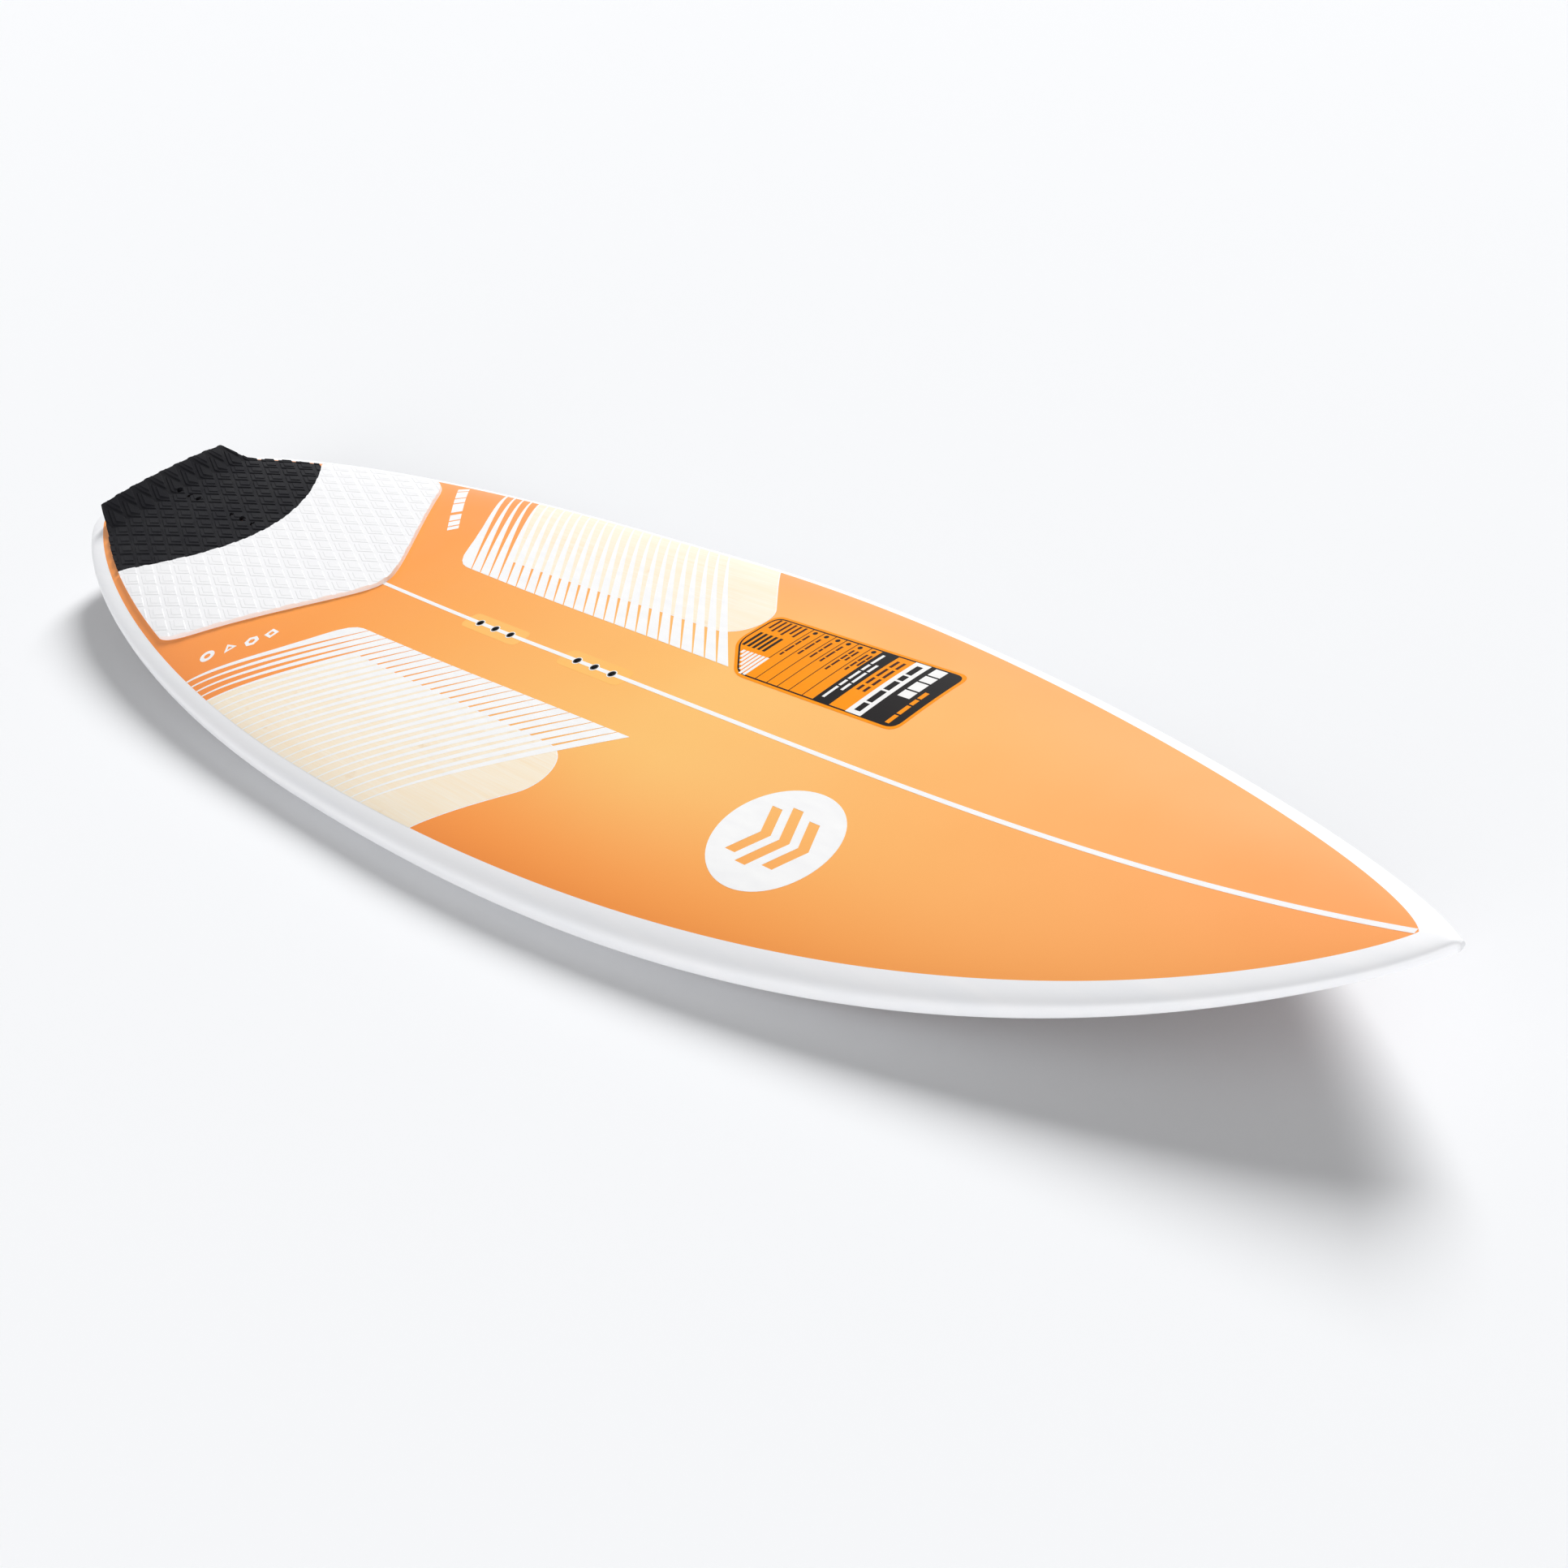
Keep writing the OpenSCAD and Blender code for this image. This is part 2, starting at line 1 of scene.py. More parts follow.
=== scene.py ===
import math

import bpy
import numpy as np
from mathutils import Matrix, Vector


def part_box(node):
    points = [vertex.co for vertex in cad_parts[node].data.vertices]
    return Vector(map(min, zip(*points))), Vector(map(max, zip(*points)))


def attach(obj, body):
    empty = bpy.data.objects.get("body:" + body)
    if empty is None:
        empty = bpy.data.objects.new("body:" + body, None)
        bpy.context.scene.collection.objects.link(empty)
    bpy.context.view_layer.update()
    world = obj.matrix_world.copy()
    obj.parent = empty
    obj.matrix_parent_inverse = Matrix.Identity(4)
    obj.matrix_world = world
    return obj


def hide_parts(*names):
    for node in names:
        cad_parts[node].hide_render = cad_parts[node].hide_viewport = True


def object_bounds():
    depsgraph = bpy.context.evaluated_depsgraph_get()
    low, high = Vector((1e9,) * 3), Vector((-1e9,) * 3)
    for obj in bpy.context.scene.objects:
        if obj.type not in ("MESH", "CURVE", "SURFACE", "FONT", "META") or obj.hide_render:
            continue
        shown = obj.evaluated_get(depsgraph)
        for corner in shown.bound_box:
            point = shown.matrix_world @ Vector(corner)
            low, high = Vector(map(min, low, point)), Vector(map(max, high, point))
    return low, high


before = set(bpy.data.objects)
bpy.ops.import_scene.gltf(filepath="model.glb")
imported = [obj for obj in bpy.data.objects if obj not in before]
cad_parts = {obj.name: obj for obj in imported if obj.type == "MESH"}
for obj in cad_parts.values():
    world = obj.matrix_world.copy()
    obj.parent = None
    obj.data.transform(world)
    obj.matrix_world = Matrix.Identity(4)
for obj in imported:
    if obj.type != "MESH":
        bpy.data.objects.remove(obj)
cad_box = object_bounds()

MM = 0.001

# ---------------------------------------------------------------------------------------------
# The hull's shape: the same curves as the CAD part, which give a height for any place on it
# ---------------------------------------------------------------------------------------------

tail_x = cad_box[0].x
nose_x = cad_box[1].x
half_width = cad_box[1].y
deck_tail_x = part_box("deck_skin")[0].x
deck_nose_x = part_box("deck_skin")[1].x
wide_x = -85 * MM
low_x = -17 * MM
tail_half = 75 * MM
nose_tip_half = 3 * MM
rail_width = 15 * MM
tail_rail_width = 25 * MM
board_t = 56 * MM
nose_t = 9 * MM
tail_t = 21 * MM
nose_rocker = 92 * MM
tail_rocker = 68 * MM
apex_share = 0.31
deck_power = 2.36
bottom_power = 4.6
nose_power, nose_fullness = 2.52, 0.83
deck_nose_power, deck_nose_fullness = 2.39, 0.81
tail_power, tail_fullness = 2.08, 0.7
tail_corner_l, tail_corner_blunt = 30 * MM, 0.45
deck_corner_l = 34 * MM
nose_rocker_power, tail_rocker_power = 3.95, 1.94
foil_power = 2.6
end_round_l, end_blunt = 9 * MM, 0.4
deck_skin_t = 2.5 * MM
bottom_skin_t = 2 * MM


def share(value, start, end):
    """How far a value is on its way from start to end, from 0 to 1."""
    return np.clip((value - start) / (end - start), 0, 1)


def closing(gap, length, blunt, power=2.2):
    """Rounds an end off over a length, from a blunt share of the full size at the very end."""
    rest = 1 - share(gap, 0, length)
    return blunt + (1 - blunt) * (1 - rest ** power) ** (1 / power)


def tail_curve(x, end_half, full_half):
    return end_half + (full_half - end_half) * (
        1 - share(x, wide_x, tail_x) ** tail_power) ** tail_fullness


def outline(x):
    """Half the board's width at x."""
    nose = half_width * (1 - share(x, wide_x, nose_x) ** nose_power) ** nose_fullness
    nose = np.maximum(nose_tip_half, nose)
    corner = closing(x - tail_x, tail_corner_l, tail_corner_blunt)
    tail = tail_curve(x, tail_half, half_width) * corner
    return np.where(x >= wide_x, nose, tail)


def deck_half(x):
    """Half the width of the deck between the rails at x."""
    full = half_width - rail_width
    nose = full * (1 - share(x, wide_x, deck_nose_x) ** deck_nose_power) ** deck_nose_fullness
    corner = closing(x - deck_tail_x, deck_corner_l, 0)
    tail = tail_curve(x, tail_half - tail_rail_width, full) * corner
    return np.maximum(0, np.where(x >= wide_x, nose, tail))


def rocker(x):
    """How far the bottom rises at x above its lowest place."""
    nose = nose_rocker * share(x, low_x, nose_x) ** nose_rocker_power
    return nose + tail_rocker * share(x, low_x, tail_x) ** tail_rocker_power


def foil(x):
    """The board's thickness at x, before its ends are rounded."""
    nose = (board_t - nose_t) * share(x, low_x, nose_x) ** foil_power
    return board_t - nose - (board_t - tail_t) * share(x, low_x, tail_x) ** foil_power


def section(y, half, power):
    return (1 - np.minimum(np.abs(y) / half, 1) ** power) ** (1 / power)


def thickness(x):
    return foil(x) * closing(np.minimum(x - tail_x, nose_x - x), end_round_l, end_blunt)


def apex_z(x):
    return rocker(x) + apex_share * foil(x)


def deck_z(x, y):
    return apex_z(x) + (1 - apex_share) * thickness(x) * section(y, outline(x), deck_power)


def bottom_z(x, y):
    return apex_z(x) - apex_share * thickness(x) * section(y, outline(x), bottom_power)


# ---------------------------------------------------------------------------------------------
# Modelling helpers
# ---------------------------------------------------------------------------------------------

def deselect():
    bpy.ops.object.select_all(action="DESELECT")


def only(obj):
    deselect()
    obj.select_set(True)
    bpy.context.view_layer.objects.active = obj


def points_of(obj):
    co = np.empty(len(obj.data.vertices) * 3)
    obj.data.vertices.foreach_get("co", co)
    return co.reshape(-1, 3)


def move_points(obj, co):
    obj.data.vertices.foreach_set("co", np.ascontiguousarray(co, float).ravel())
    obj.data.update()


def modify(obj, kind, **settings):
    only(obj)
    modifier = obj.modifiers.new(kind.lower(), kind)
    for key, value in settings.items():
        setattr(modifier, key, value)
    bpy.ops.object.modifier_apply(modifier=modifier.name)


def edit(obj, *steps):
    """Runs steps of edit mode on the whole mesh. A step is an operator's name and its settings."""
    only(obj)
    bpy.ops.object.mode_set(mode="EDIT")
    for name, settings in steps:
        bpy.ops.mesh.select_all(action="SELECT")
        getattr(bpy.ops.mesh, name)(**settings)
    bpy.ops.object.mode_set(mode="OBJECT")


OUTWARDS = ("normals_make_consistent", {"inside": False})
MERGE = ("remove_doubles", {"threshold": 0.005 * MM})


def close_ends(obj):
    """Joins the seam of a tube, fills its open ends and turns its faces outwards."""
    edit(obj, MERGE)
    only(obj)
    bpy.ops.object.mode_set(mode="EDIT")
    bpy.ops.mesh.select_all(action="DESELECT")
    bpy.ops.mesh.select_non_manifold()
    bpy.ops.mesh.fill_holes(sides=0)
    bpy.ops.object.mode_set(mode="OBJECT")
    edit(obj, OUTWARDS)


def raised(height):
    return ("extrude_region_move", {"TRANSFORM_OT_translate": {"value": (0, 0, height)}})


def smooth(obj, degrees=35):
    only(obj)
    bpy.ops.object.shade_smooth_by_angle(angle=math.radians(degrees))


def lattice(name, rows, columns, place):
    """A grid whose points are placed by their row and column numbers."""
    deselect()
    bpy.ops.mesh.primitive_grid_add(x_subdivisions=rows - 1, y_subdivisions=columns - 1, size=1)
    obj = bpy.context.object
    obj.name = name
    co = points_of(obj)
    row = np.rint((co[:, 0] + 0.5) * (rows - 1)).astype(int)
    column = np.rint((co[:, 1] + 0.5) * (columns - 1)).astype(int)
    move_points(obj, np.column_stack(place(row, column)))
    return obj


def prism(points, low=-0.05, high=0.25):
    """An upright cutter over a flat outline."""
    deselect()
    bpy.ops.mesh.primitive_circle_add(vertices=len(points), fill_type="NGON")
    obj = bpy.context.object
    move_points(obj, [(x, y, low) for x, y in points])
    edit(obj, raised(high - low), OUTWARDS)
    return obj


def join(objects, name):
    deselect()
    for obj in objects:
        obj.select_set(True)
    bpy.context.view_layer.objects.active = objects[0]
    if len(objects) > 1:
        bpy.ops.object.join()
    objects[0].name = name
    return objects[0]


def cut(obj, cutter, operation):
    modify(obj, "BOOLEAN", object=cutter, operation=operation, solver="EXACT")
    bpy.data.objects.remove(cutter, do_unlink=True)


def ring_points(x, y, r, count=32, turn=0.0):
    angles = [turn + 2 * math.pi * k / count for k in range(count)]
    return [(x + r * math.cos(a), y + r * math.sin(a)) for a in angles]


def rounded(points, radius, steps=6):
    """The outline with each corner replaced by a curve that starts and ends a radius away."""
    result = []
    for k, corner in enumerate(points):
        corner = Vector(corner)
        before = Vector(points[k - 1]) - corner
        after = Vector(points[(k + 1) % len(points)]) - corner
        start = corner + before.normalized() * min(radius, before.length * 0.45)
        end = corner + after.normalized() * min(radius, after.length * 0.45)
        for s in range(steps + 1):
            t = s / steps
            result.append(tuple(start * (1 - t) ** 2 + corner * 2 * t * (1 - t) + end * t ** 2))
    return result


def mirrored(points):
    return [(x, -y) for x, y in reversed(points)]


def finish_piece(obj, slot, look, *nodes):
    """Gives a new piece its material and its body, and hides the nodes that it replaces. Its slot
    is not used.
    """
    obj.data.materials.clear()
    obj.data.materials.append(look)
    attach(obj, "root")
    if nodes:
        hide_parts(*nodes)
    return obj


# ---------------------------------------------------------------------------------------------
# Finishes
# ---------------------------------------------------------------------------------------------

# Noise lies mostly between these values, so this much of it is spread over a whole range
NOISE_SPAN = {"From Min": 0.3, "From Max": 0.7}


def srgb(text):
    values = [int(text[k:k + 2], 16) / 255 for k in (1, 3, 5)]
    return [v / 12.92 if v <= 0.04045 else ((v + 0.055) / 1.055) ** 2.4 for v in values] + [1]


def per_mm(size):
    """The texture scale at which one feature is this many millimetres across."""
    return 1 / (size * MM)


def add(tree, kind, inputs=None, **settings):
    """Adds one node. An input is a value, or the output socket that feeds it."""
    node = tree.nodes.new(kind)
    for key, value in settings.items():
        setattr(node, key, value)
    for key, value in (inputs or {}).items():
        if isinstance(value, bpy.types.NodeSocket):
            tree.links.new(value, node.inputs[key])
        else:
            node.inputs[key].default_value = value
    return node


def start_finish(name, **constants):
    """A material with a shader whose constants are set on its own sockets."""
    material = bpy.data.materials.new(name)
    material.use_nodes = True
    tree = material.node_tree
    shader = tree.nodes["Principled BSDF"]
    for key, value in constants.items():
        shader.inputs[key.replace("_", " ")].default_value = value
    place = add(tree, "ShaderNodeTexCoord").outputs["Object"]
    return material, tree, shader, place


def grained(name, dark, pale, rough, size, stretch=(1, 1, 1), detail=3.0, depth=0.0, **constants):
    """A finish whose colour, roughness and relief all follow one grain, this many millimetres
    wide, drawn out by a share along each axis, with a relief this many millimetres deep."""
    material, tree, shader, place = start_finish(name, **constants)
    drawn = add(tree, "ShaderNodeMapping", {"Vector": place, "Scale": stretch}).outputs[0]
    grain = add(tree, "ShaderNodeTexNoise",
                {"Vector": drawn, "Scale": per_mm(size), "Detail": detail}).outputs[0]
    tone = add(tree, "ShaderNodeMapRange", {"Value": grain, **NOISE_SPAN}).outputs[0]
    colour = add(tree, "ShaderNodeMix", {0: tone, 6: dark, 7: pale}, data_type="RGBA").outputs[2]
    sheen = add(tree, "ShaderNodeMapRange", {"Value": grain, **NOISE_SPAN, "To Min": rough[0],
                                             "To Max": rough[1]}).outputs[0]
    tree.links.new(colour, shader.inputs["Base Color"])
    tree.links.new(sheen, shader.inputs["Roughness"])
    if depth:
        relief = add(tree, "ShaderNodeBump", {"Height": grain, "Distance": depth * MM}).outputs[0]
        tree.links.new(relief, shader.inputs["Normal"])
    return material


def spray(tree, shader, place, colour, rough):
    """Completes a sprayed lacquer of this colour: flatted by hand, so that patches about 60 mm
    across differ a little in sheen, over an orange peel 1.6 mm across and 0.012 mm deep."""
    patches = add(tree, "ShaderNodeTexNoise",
                  {"Vector": place, "Scale": per_mm(60), "Detail": 5.0}).outputs[0]
    sheen = add(tree, "ShaderNodeMapRange", {"Value": patches, **NOISE_SPAN, "To Min": rough[0],
                                             "To Max": rough[1]}).outputs[0]
    peel = add(tree, "ShaderNodeTexNoise",
               {"Vector": place, "Scale": per_mm(1.6), "Detail": 3.0}).outputs[0]
    relief = add(tree, "ShaderNodeBump", {"Height": peel, "Distance": 0.012 * MM}).outputs[0]
    tree.links.new(colour, shader.inputs["Base Color"])
    tree.links.new(sheen, shader.inputs["Roughness"])
    tree.links.new(relief, shader.inputs["Normal"])


def lacquer(name, deep, pale, cloud_size, rough=(0.3, 0.42)):
    """Sprayed polyurethane lacquer, flatted to a satin: even colour with faint clouds of the
    spray, a soft sheen and a very fine orange peel."""
    material, tree, shader, place = start_finish(name, IOR=1.5)
    drawn = add(tree, "ShaderNodeMapping", {"Vector": place, "Scale": (0.5, 1, 1)}).outputs[0]
    cloud = add(tree, "ShaderNodeTexNoise",
                {"Vector": drawn, "Scale": per_mm(cloud_size), "Detail": 3.0}).outputs[0]
    tone = add(tree, "ShaderNodeMapRange", {"Value": cloud, **NOISE_SPAN}).outputs[0]
    colour = add(tree, "ShaderNodeMix", {0: tone, 6: srgb(deep), 7: srgb(pale)},
                 data_type="RGBA").outputs[2]
    spray(tree, shader, place, colour, rough)
    return material


def orange_deck_lacquer():
    """Satin orange lacquer whose colour is painted deeper along the edges of the deck, most of all
    along the starboard one, and over the nose and tail, so that it is palest in the middle: painted
    shade along the edges and over the tail, where the deck turns from the light, and a painted
    highlight of the sheen in the middle."""
    material, tree, shader, place = start_finish("satin_orange_polyurethane", IOR=1.25)
    along, across, _ = add(tree, "ShaderNodeSeparateXYZ", {"Vector": place}).outputs
    # Painted shade: the colour deepens towards the edges, more towards starboard than port, and
    # towards the tail
    starboard = add(tree, "ShaderNodeMath", {0: across, 1: -1.0}, operation="MULTIPLY").outputs[0]
    port = add(tree, "ShaderNodeMath", {0: across, 1: 0.8}, operation="MULTIPLY").outputs[0]
    off_centre = add(tree, "ShaderNodeMath", {0: starboard, 1: port},
                     operation="MAXIMUM").outputs[0]
    painted_edge_shade = add(tree, "ShaderNodeMapRange",
                {"Value": off_centre, "From Min": 0.05, "From Max": half_width},
                interpolation_type="SMOOTHSTEP").outputs[0]
    over_nose = add(tree, "ShaderNodeMapRange",
                    {"Value": along, "From Min": 0.25, "From Max": 0.8}).outputs[0]
    painted_tail_shade = add(tree, "ShaderNodeMapRange",
                    {"Value": along, "From Min": 0.2, "From Max": -0.3}).outputs[0]
    cloud = add(tree, "ShaderNodeTexNoise",
                {"Vector": place, "Scale": per_mm(220), "Detail": 3.0}).outputs[0]
    tone = add(tree, "ShaderNodeMapRange", {"Value": cloud, **NOISE_SPAN}).outputs[0]
    colour = add(tree, "ShaderNodeMix", {0: tone, 6: srgb("#ffc16b"), 7: srgb("#ffc674")},
                 data_type="RGBA").outputs[2]
    # Deeper tone over the nose, and painted shade over the tail and along the edges
    for share_of, deeper in ((over_nose, "#ffa75f"), (painted_tail_shade, "#ffa248"), (painted_edge_shade, "#ff9848")):
        colour = add(tree, "ShaderNodeMix", {0: share_of, 6: colour, 7: srgb(deeper)},
                     data_type="RGBA").outputs[2]
    spray(tree, shader, place, colour, (0.3, 0.4))
    return material


def white_rail_lacquer():
    """Satin white lacquer, flatted by hand along the rail, which leaves it a little uneven
    lengthwise: wide soft strokes of slightly different sheen over a very fine orange peel."""
    material = grained("satin_white_rail_polyurethane", srgb("#f9fafd"), srgb("#fdfdff"),
                       (0.28, 0.36), 9, (0.03, 1, 1), 4.0, IOR=1.5)
    tree = material.node_tree
    place = tree.nodes["Texture Coordinate"].outputs["Object"]
    peel = add(tree, "ShaderNodeTexNoise",
               {"Vector": place, "Scale": per_mm(1.6), "Detail": 3.0}).outputs[0]
    relief = add(tree, "ShaderNodeBump", {"Height": peel, "Distance": 0.008 * MM}).outputs[0]
    tree.links.new(relief, tree.nodes["Principled BSDF"].inputs["Normal"])
    return material


def bamboo_veneer():
    """Bamboo veneer under clear epoxy: strips 20 mm wide of slightly different tone, fine grain
    along the board and a few brown flecks near the nodes of the cane."""
    material = grained("bamboo_under_clear_epoxy", srgb("#fdecd0"), srgb("#fff6e6"), (0.3, 0.42),
                       1.1, (0.02, 1, 1), 6.0, 0.015, IOR=1.52)
    tree = material.node_tree
    place = tree.nodes["Texture Coordinate"].outputs["Object"]
    surface = tree.nodes["Principled BSDF"].inputs["Base Color"]
    strips_at = add(tree, "ShaderNodeMapping", {"Vector": place, "Scale": (0.06, 1, 0.02)})
    strip = add(tree, "ShaderNodeTexVoronoi",
                {"Vector": strips_at.outputs[0], "Scale": per_mm(20)}).outputs["Color"]
    strip_tone = add(tree, "ShaderNodeSeparateColor", {"Color": strip}).outputs[0]
    cane_at = add(tree, "ShaderNodeMapping", {"Vector": place, "Scale": (0.035, 1, 1)}).outputs[0]
    cane = add(tree, "ShaderNodeTexNoise",
               {"Vector": cane_at, "Scale": per_mm(7), "Detail": 3.0}).outputs[0]
    fleck_at = add(tree, "ShaderNodeMapping", {"Vector": place, "Scale": (0.5, 1, 1)}).outputs[0]
    fleck = add(tree, "ShaderNodeTexNoise",
                {"Vector": fleck_at, "Scale": per_mm(16), "Detail": 6.0}).outputs[0]
    colour = surface.links[0].from_socket
    few = {"From Min": 0.66, "From Max": 0.78}
    for value, span, most, tint in ((cane, NOISE_SPAN, 0.45, "#fde4bd"),
                                    (strip_tone, NOISE_SPAN, 0.3, "#fff3dc"),
                                    (fleck, few, 0.4, "#e3bd85")):
        part = add(tree, "ShaderNodeMapRange", {"Value": value, **span, "To Max": most}).outputs[0]
        colour = add(tree, "ShaderNodeMix", {0: part, 6: colour, 7: srgb(tint)},
                     data_type="RGBA").outputs[2]
    tree.links.new(colour, surface)
    return material


def eva_foam(name, dark, pale, rough):
    """Moulded EVA foam: matt closed cells about 0.5 mm across, drawn at 0.9 mm so that they
    show, rubbed a little paler and smoother in patches."""
    material, tree, shader, place = start_finish(name, IOR=1.2)
    cells = add(tree, "ShaderNodeTexNoise",
                {"Vector": place, "Scale": per_mm(0.9), "Detail": 2.0}).outputs[0]
    worn_at = add(tree, "ShaderNodeMapping", {"Vector": place, "Scale": (0.5, 1, 1)}).outputs[0]
    worn = add(tree, "ShaderNodeTexNoise",
               {"Vector": worn_at, "Scale": per_mm(26), "Detail": 5.0}).outputs[0]
    colour = srgb(dark)
    for value in (cells, worn):
        part = add(tree, "ShaderNodeMapRange", {"Value": value, **NOISE_SPAN, "To Max": 0.5})
        colour = add(tree, "ShaderNodeMix", {0: part.outputs[0], 6: colour, 7: srgb(pale)},
                     data_type="RGBA").outputs[2]
    sheen = add(tree, "ShaderNodeMapRange", {"Value": worn, **NOISE_SPAN, "To Min": rough[0],
                                             "To Max": rough[1]}).outputs[0]
    relief = add(tree, "ShaderNodeBump", {"Height": cells, "Distance": 0.12 * MM}).outputs[0]
    tree.links.new(colour, shader.inputs["Base Color"])
    tree.links.new(sheen, shader.inputs["Roughness"])
    tree.links.new(relief, shader.inputs["Normal"])
    return material


def print_ink(name, colour, rough):
    """Screen-printed ink: one even matt colour with the slightly uneven lay of the squeegee."""
    paler = [min(1, c * 1.06) for c in srgb(colour)]
    return grained(name, srgb(colour), paler, (rough - 0.04, rough + 0.04), 9, (0.3, 1, 1), 4.0,
                   IOR=1.15)


def moulded_nylon():
    """Injection-moulded glass-filled nylon: near black, with a fine eroded mould texture."""
    return grained("moulded_black_nylon", srgb("#151517"), srgb("#242427"), (0.42, 0.58), 0.6,
                   detail=2.0, depth=0.05, IOR=1.53)


def turned_stainless():
    """Turned stainless steel: bright, with fine rings left by the tool."""
    return grained("turned_stainless_steel", srgb("#b9babd"), srgb("#d3d4d6"), (0.2, 0.34), 0.5,
                   (1, 1, 6), 2.0, 0.01, Metallic=1.0)


def foam_beads(name, dark, pale, bead):
    """Expanded foam cut with a hot wire: round beads pressed flat against each other."""
    material, tree, shader, place = start_finish(name, IOR=1.4, Roughness=0.8)
    cells = add(tree, "ShaderNodeTexVoronoi", {"Vector": place, "Scale": per_mm(bead)}).outputs[0]
    depth = add(tree, "ShaderNodeMapRange", {"Value": cells, "From Max": 0.8}).outputs[0]
    colour = add(tree, "ShaderNodeMix", {0: depth, 6: srgb(pale), 7: srgb(dark)},
                 data_type="RGBA").outputs[2]
    relief = add(tree, "ShaderNodeBump", {"Height": depth, "Distance": 0.1 * MM}).outputs[0]
    tree.links.new(colour, shader.inputs["Base Color"])
    tree.links.new(relief, shader.inputs["Normal"])
    return material


def plywood_strip():
    """Planed light plywood: long pale grain with darker lines."""
    return grained("planed_light_plywood", srgb("#b98f5e"), srgb("#d9b483"), (0.5, 0.65), 1.5,
                   (0.03, 1, 1), 5.0, 0.05, IOR=1.5)


orange = orange_deck_lacquer()
rail_white = white_rail_lacquer()
bottom_red = lacquer("satin_dark_red_polyurethane", "#471a18", "#542220", 180)
block_orange = lacquer("thin_orange_over_block", "#ffbb53", "#ffc05c", 120)
bamboo = bamboo_veneer()
white_paint = print_ink("satin_white_paint", "#fafafb", 0.36)
eva_black = eva_foam("moulded_black_eva", "#0c0c0f", "#1a1a1f", (0.6, 0.8))
eva_white = eva_foam("moulded_white_eva", "#fafafc", "#fefeff", (0.7, 0.85))
nylon = moulded_nylon()
stainless = turned_stainless()
label_orange = print_ink("printed_orange_vinyl", "#ff9608", 0.45)
label_black = print_ink("printed_black_ink", "#0e090a", 0.45)
label_brown = print_ink("printed_dark_brown_line", "#3a1209", 0.45)
label_white = print_ink("printed_white_ink", "#f6f5f4", 0.32)
core_foam = foam_beads("expanded_polystyrene", "#d9d9d4", "#f2f2ee", 3)
block_foam = foam_beads("dense_pvc_foam", "#d99a3f", "#ecb455", 1.2)
plywood = plywood_strip()

# ---------------------------------------------------------------------------------------------
# Hull: deck, bottom and two rails
# ---------------------------------------------------------------------------------------------

deck_rows = 280
half_columns = 26


def crowded_ends(start, end, count):
    """Places from start to end, closer together towards both."""
    turn = np.linspace(0, math.pi, count)
    return (start + end) / 2 - (end - start) / 2 * np.cos(turn)


deck_x = crowded_ends(deck_tail_x, deck_nose_x, deck_rows)
column_share = np.linspace(-1, 1, 2 * half_columns + 1)
edge_crowding = 1.5
column_share = np.sign(column_share) * (1 - (1 - np.abs(column_share)) ** edge_crowding)


def deck_grid(name, height, rows=None, columns=None):
    """The part of the deck's own grid in these rows and columns, lifted by height."""
    rows = np.arange(deck_rows) if rows is None else rows
    columns = np.arange(len(column_share)) if columns is None else columns

    def place(row, column):
        x = deck_x[rows[row]]
        y = deck_half(x) * column_share[columns[column]]
        return x, y, deck_z(x, y) + height
    return lattice(name, len(rows), len(columns), place)


def strap_hole_centres(*trios):
    """Centres of the holes over the threaded bushes of these trios."""
    centres = []
    for trio in trios:
        low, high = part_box("insert_sleeves_" + trio)
        radius = (high.y - low.y) / 2
        first, last = low.x + radius, high.x - radius
        centres += [(first, 0), ((first + last) / 2, 0), (last, 0)]
    return centres


def drill(obj, centres, r):
    cut(obj, join([prism(ring_points(x, y, r)) for x, y in centres], "drill"), "DIFFERENCE")


front_holes = strap_hole_centres("front_fore", "front_aft")
rear_holes = strap_hole_centres("rear_fore", "rear_aft")
deck_hole_r = 3.7 * MM


def make_deck():
    deck = deck_grid("deck", 0)
    edit(deck, MERGE)
    modify(deck, "SOLIDIFY", thickness=deck_skin_t, offset=-1)
    drill(deck, front_holes + rear_holes, deck_hole_r)
    smooth(deck)
    finish_piece(deck, "deck_lacquer", orange, "deck_skin")


def fin_pocket(node):
    """An upright cutter over the footprint of a fin box, round which the bottom is open."""
    low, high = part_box(node)
    side = 1 if low.y > 0 else -1
    toe = math.radians(2) * side
    length, width, corner_r = 126 * MM, 16 * MM, 7 * MM
    centre = Vector(((low.x + high.x) / 2, (low.y + high.y) / 2))
    corners = [Vector((sx * length / 2, sy * width / 2)) for sx, sy in
               ((-1, -1), (1, -1), (1, 1), (-1, 1))]
    along, across = Vector((math.cos(toe), -math.sin(toe))), Vector((math.sin(toe), math.cos(toe)))
    turned = [centre + along * c.x + across * c.y for c in corners]
    return prism(rounded([tuple(c) for c in turned], corner_r), -0.02, high.z)


FIN_BOXES = [f"fin_box_{place}_{side}" for place in ("front", "rear")
             for side in ("port", "starboard")]


def make_bottom():
    def place(row, column):
        x = deck_x[row]
        y = deck_half(x) * column_share[column]
        return x, y, bottom_z(x, y)
    bottom = lattice("bottom", deck_rows, len(column_share), place)
    edit(bottom, MERGE, ("flip_normals", {}))
    modify(bottom, "SOLIDIFY", thickness=bottom_skin_t, offset=-1)
    cut(bottom, join([fin_pocket(node) for node in FIN_BOXES], "pockets"), "DIFFERENCE")
    smooth(bottom)
    finish_piece(bottom, "bottom_lacquer", bottom_red, "bottom_skin")


rail_steps = 14
end_rows = 14
rail_x = np.concatenate([crowded_ends(tail_x, deck_tail_x, end_rows)[:-1], deck_x,
                         crowded_ends(deck_nose_x, nose_x, end_rows)[1:]])


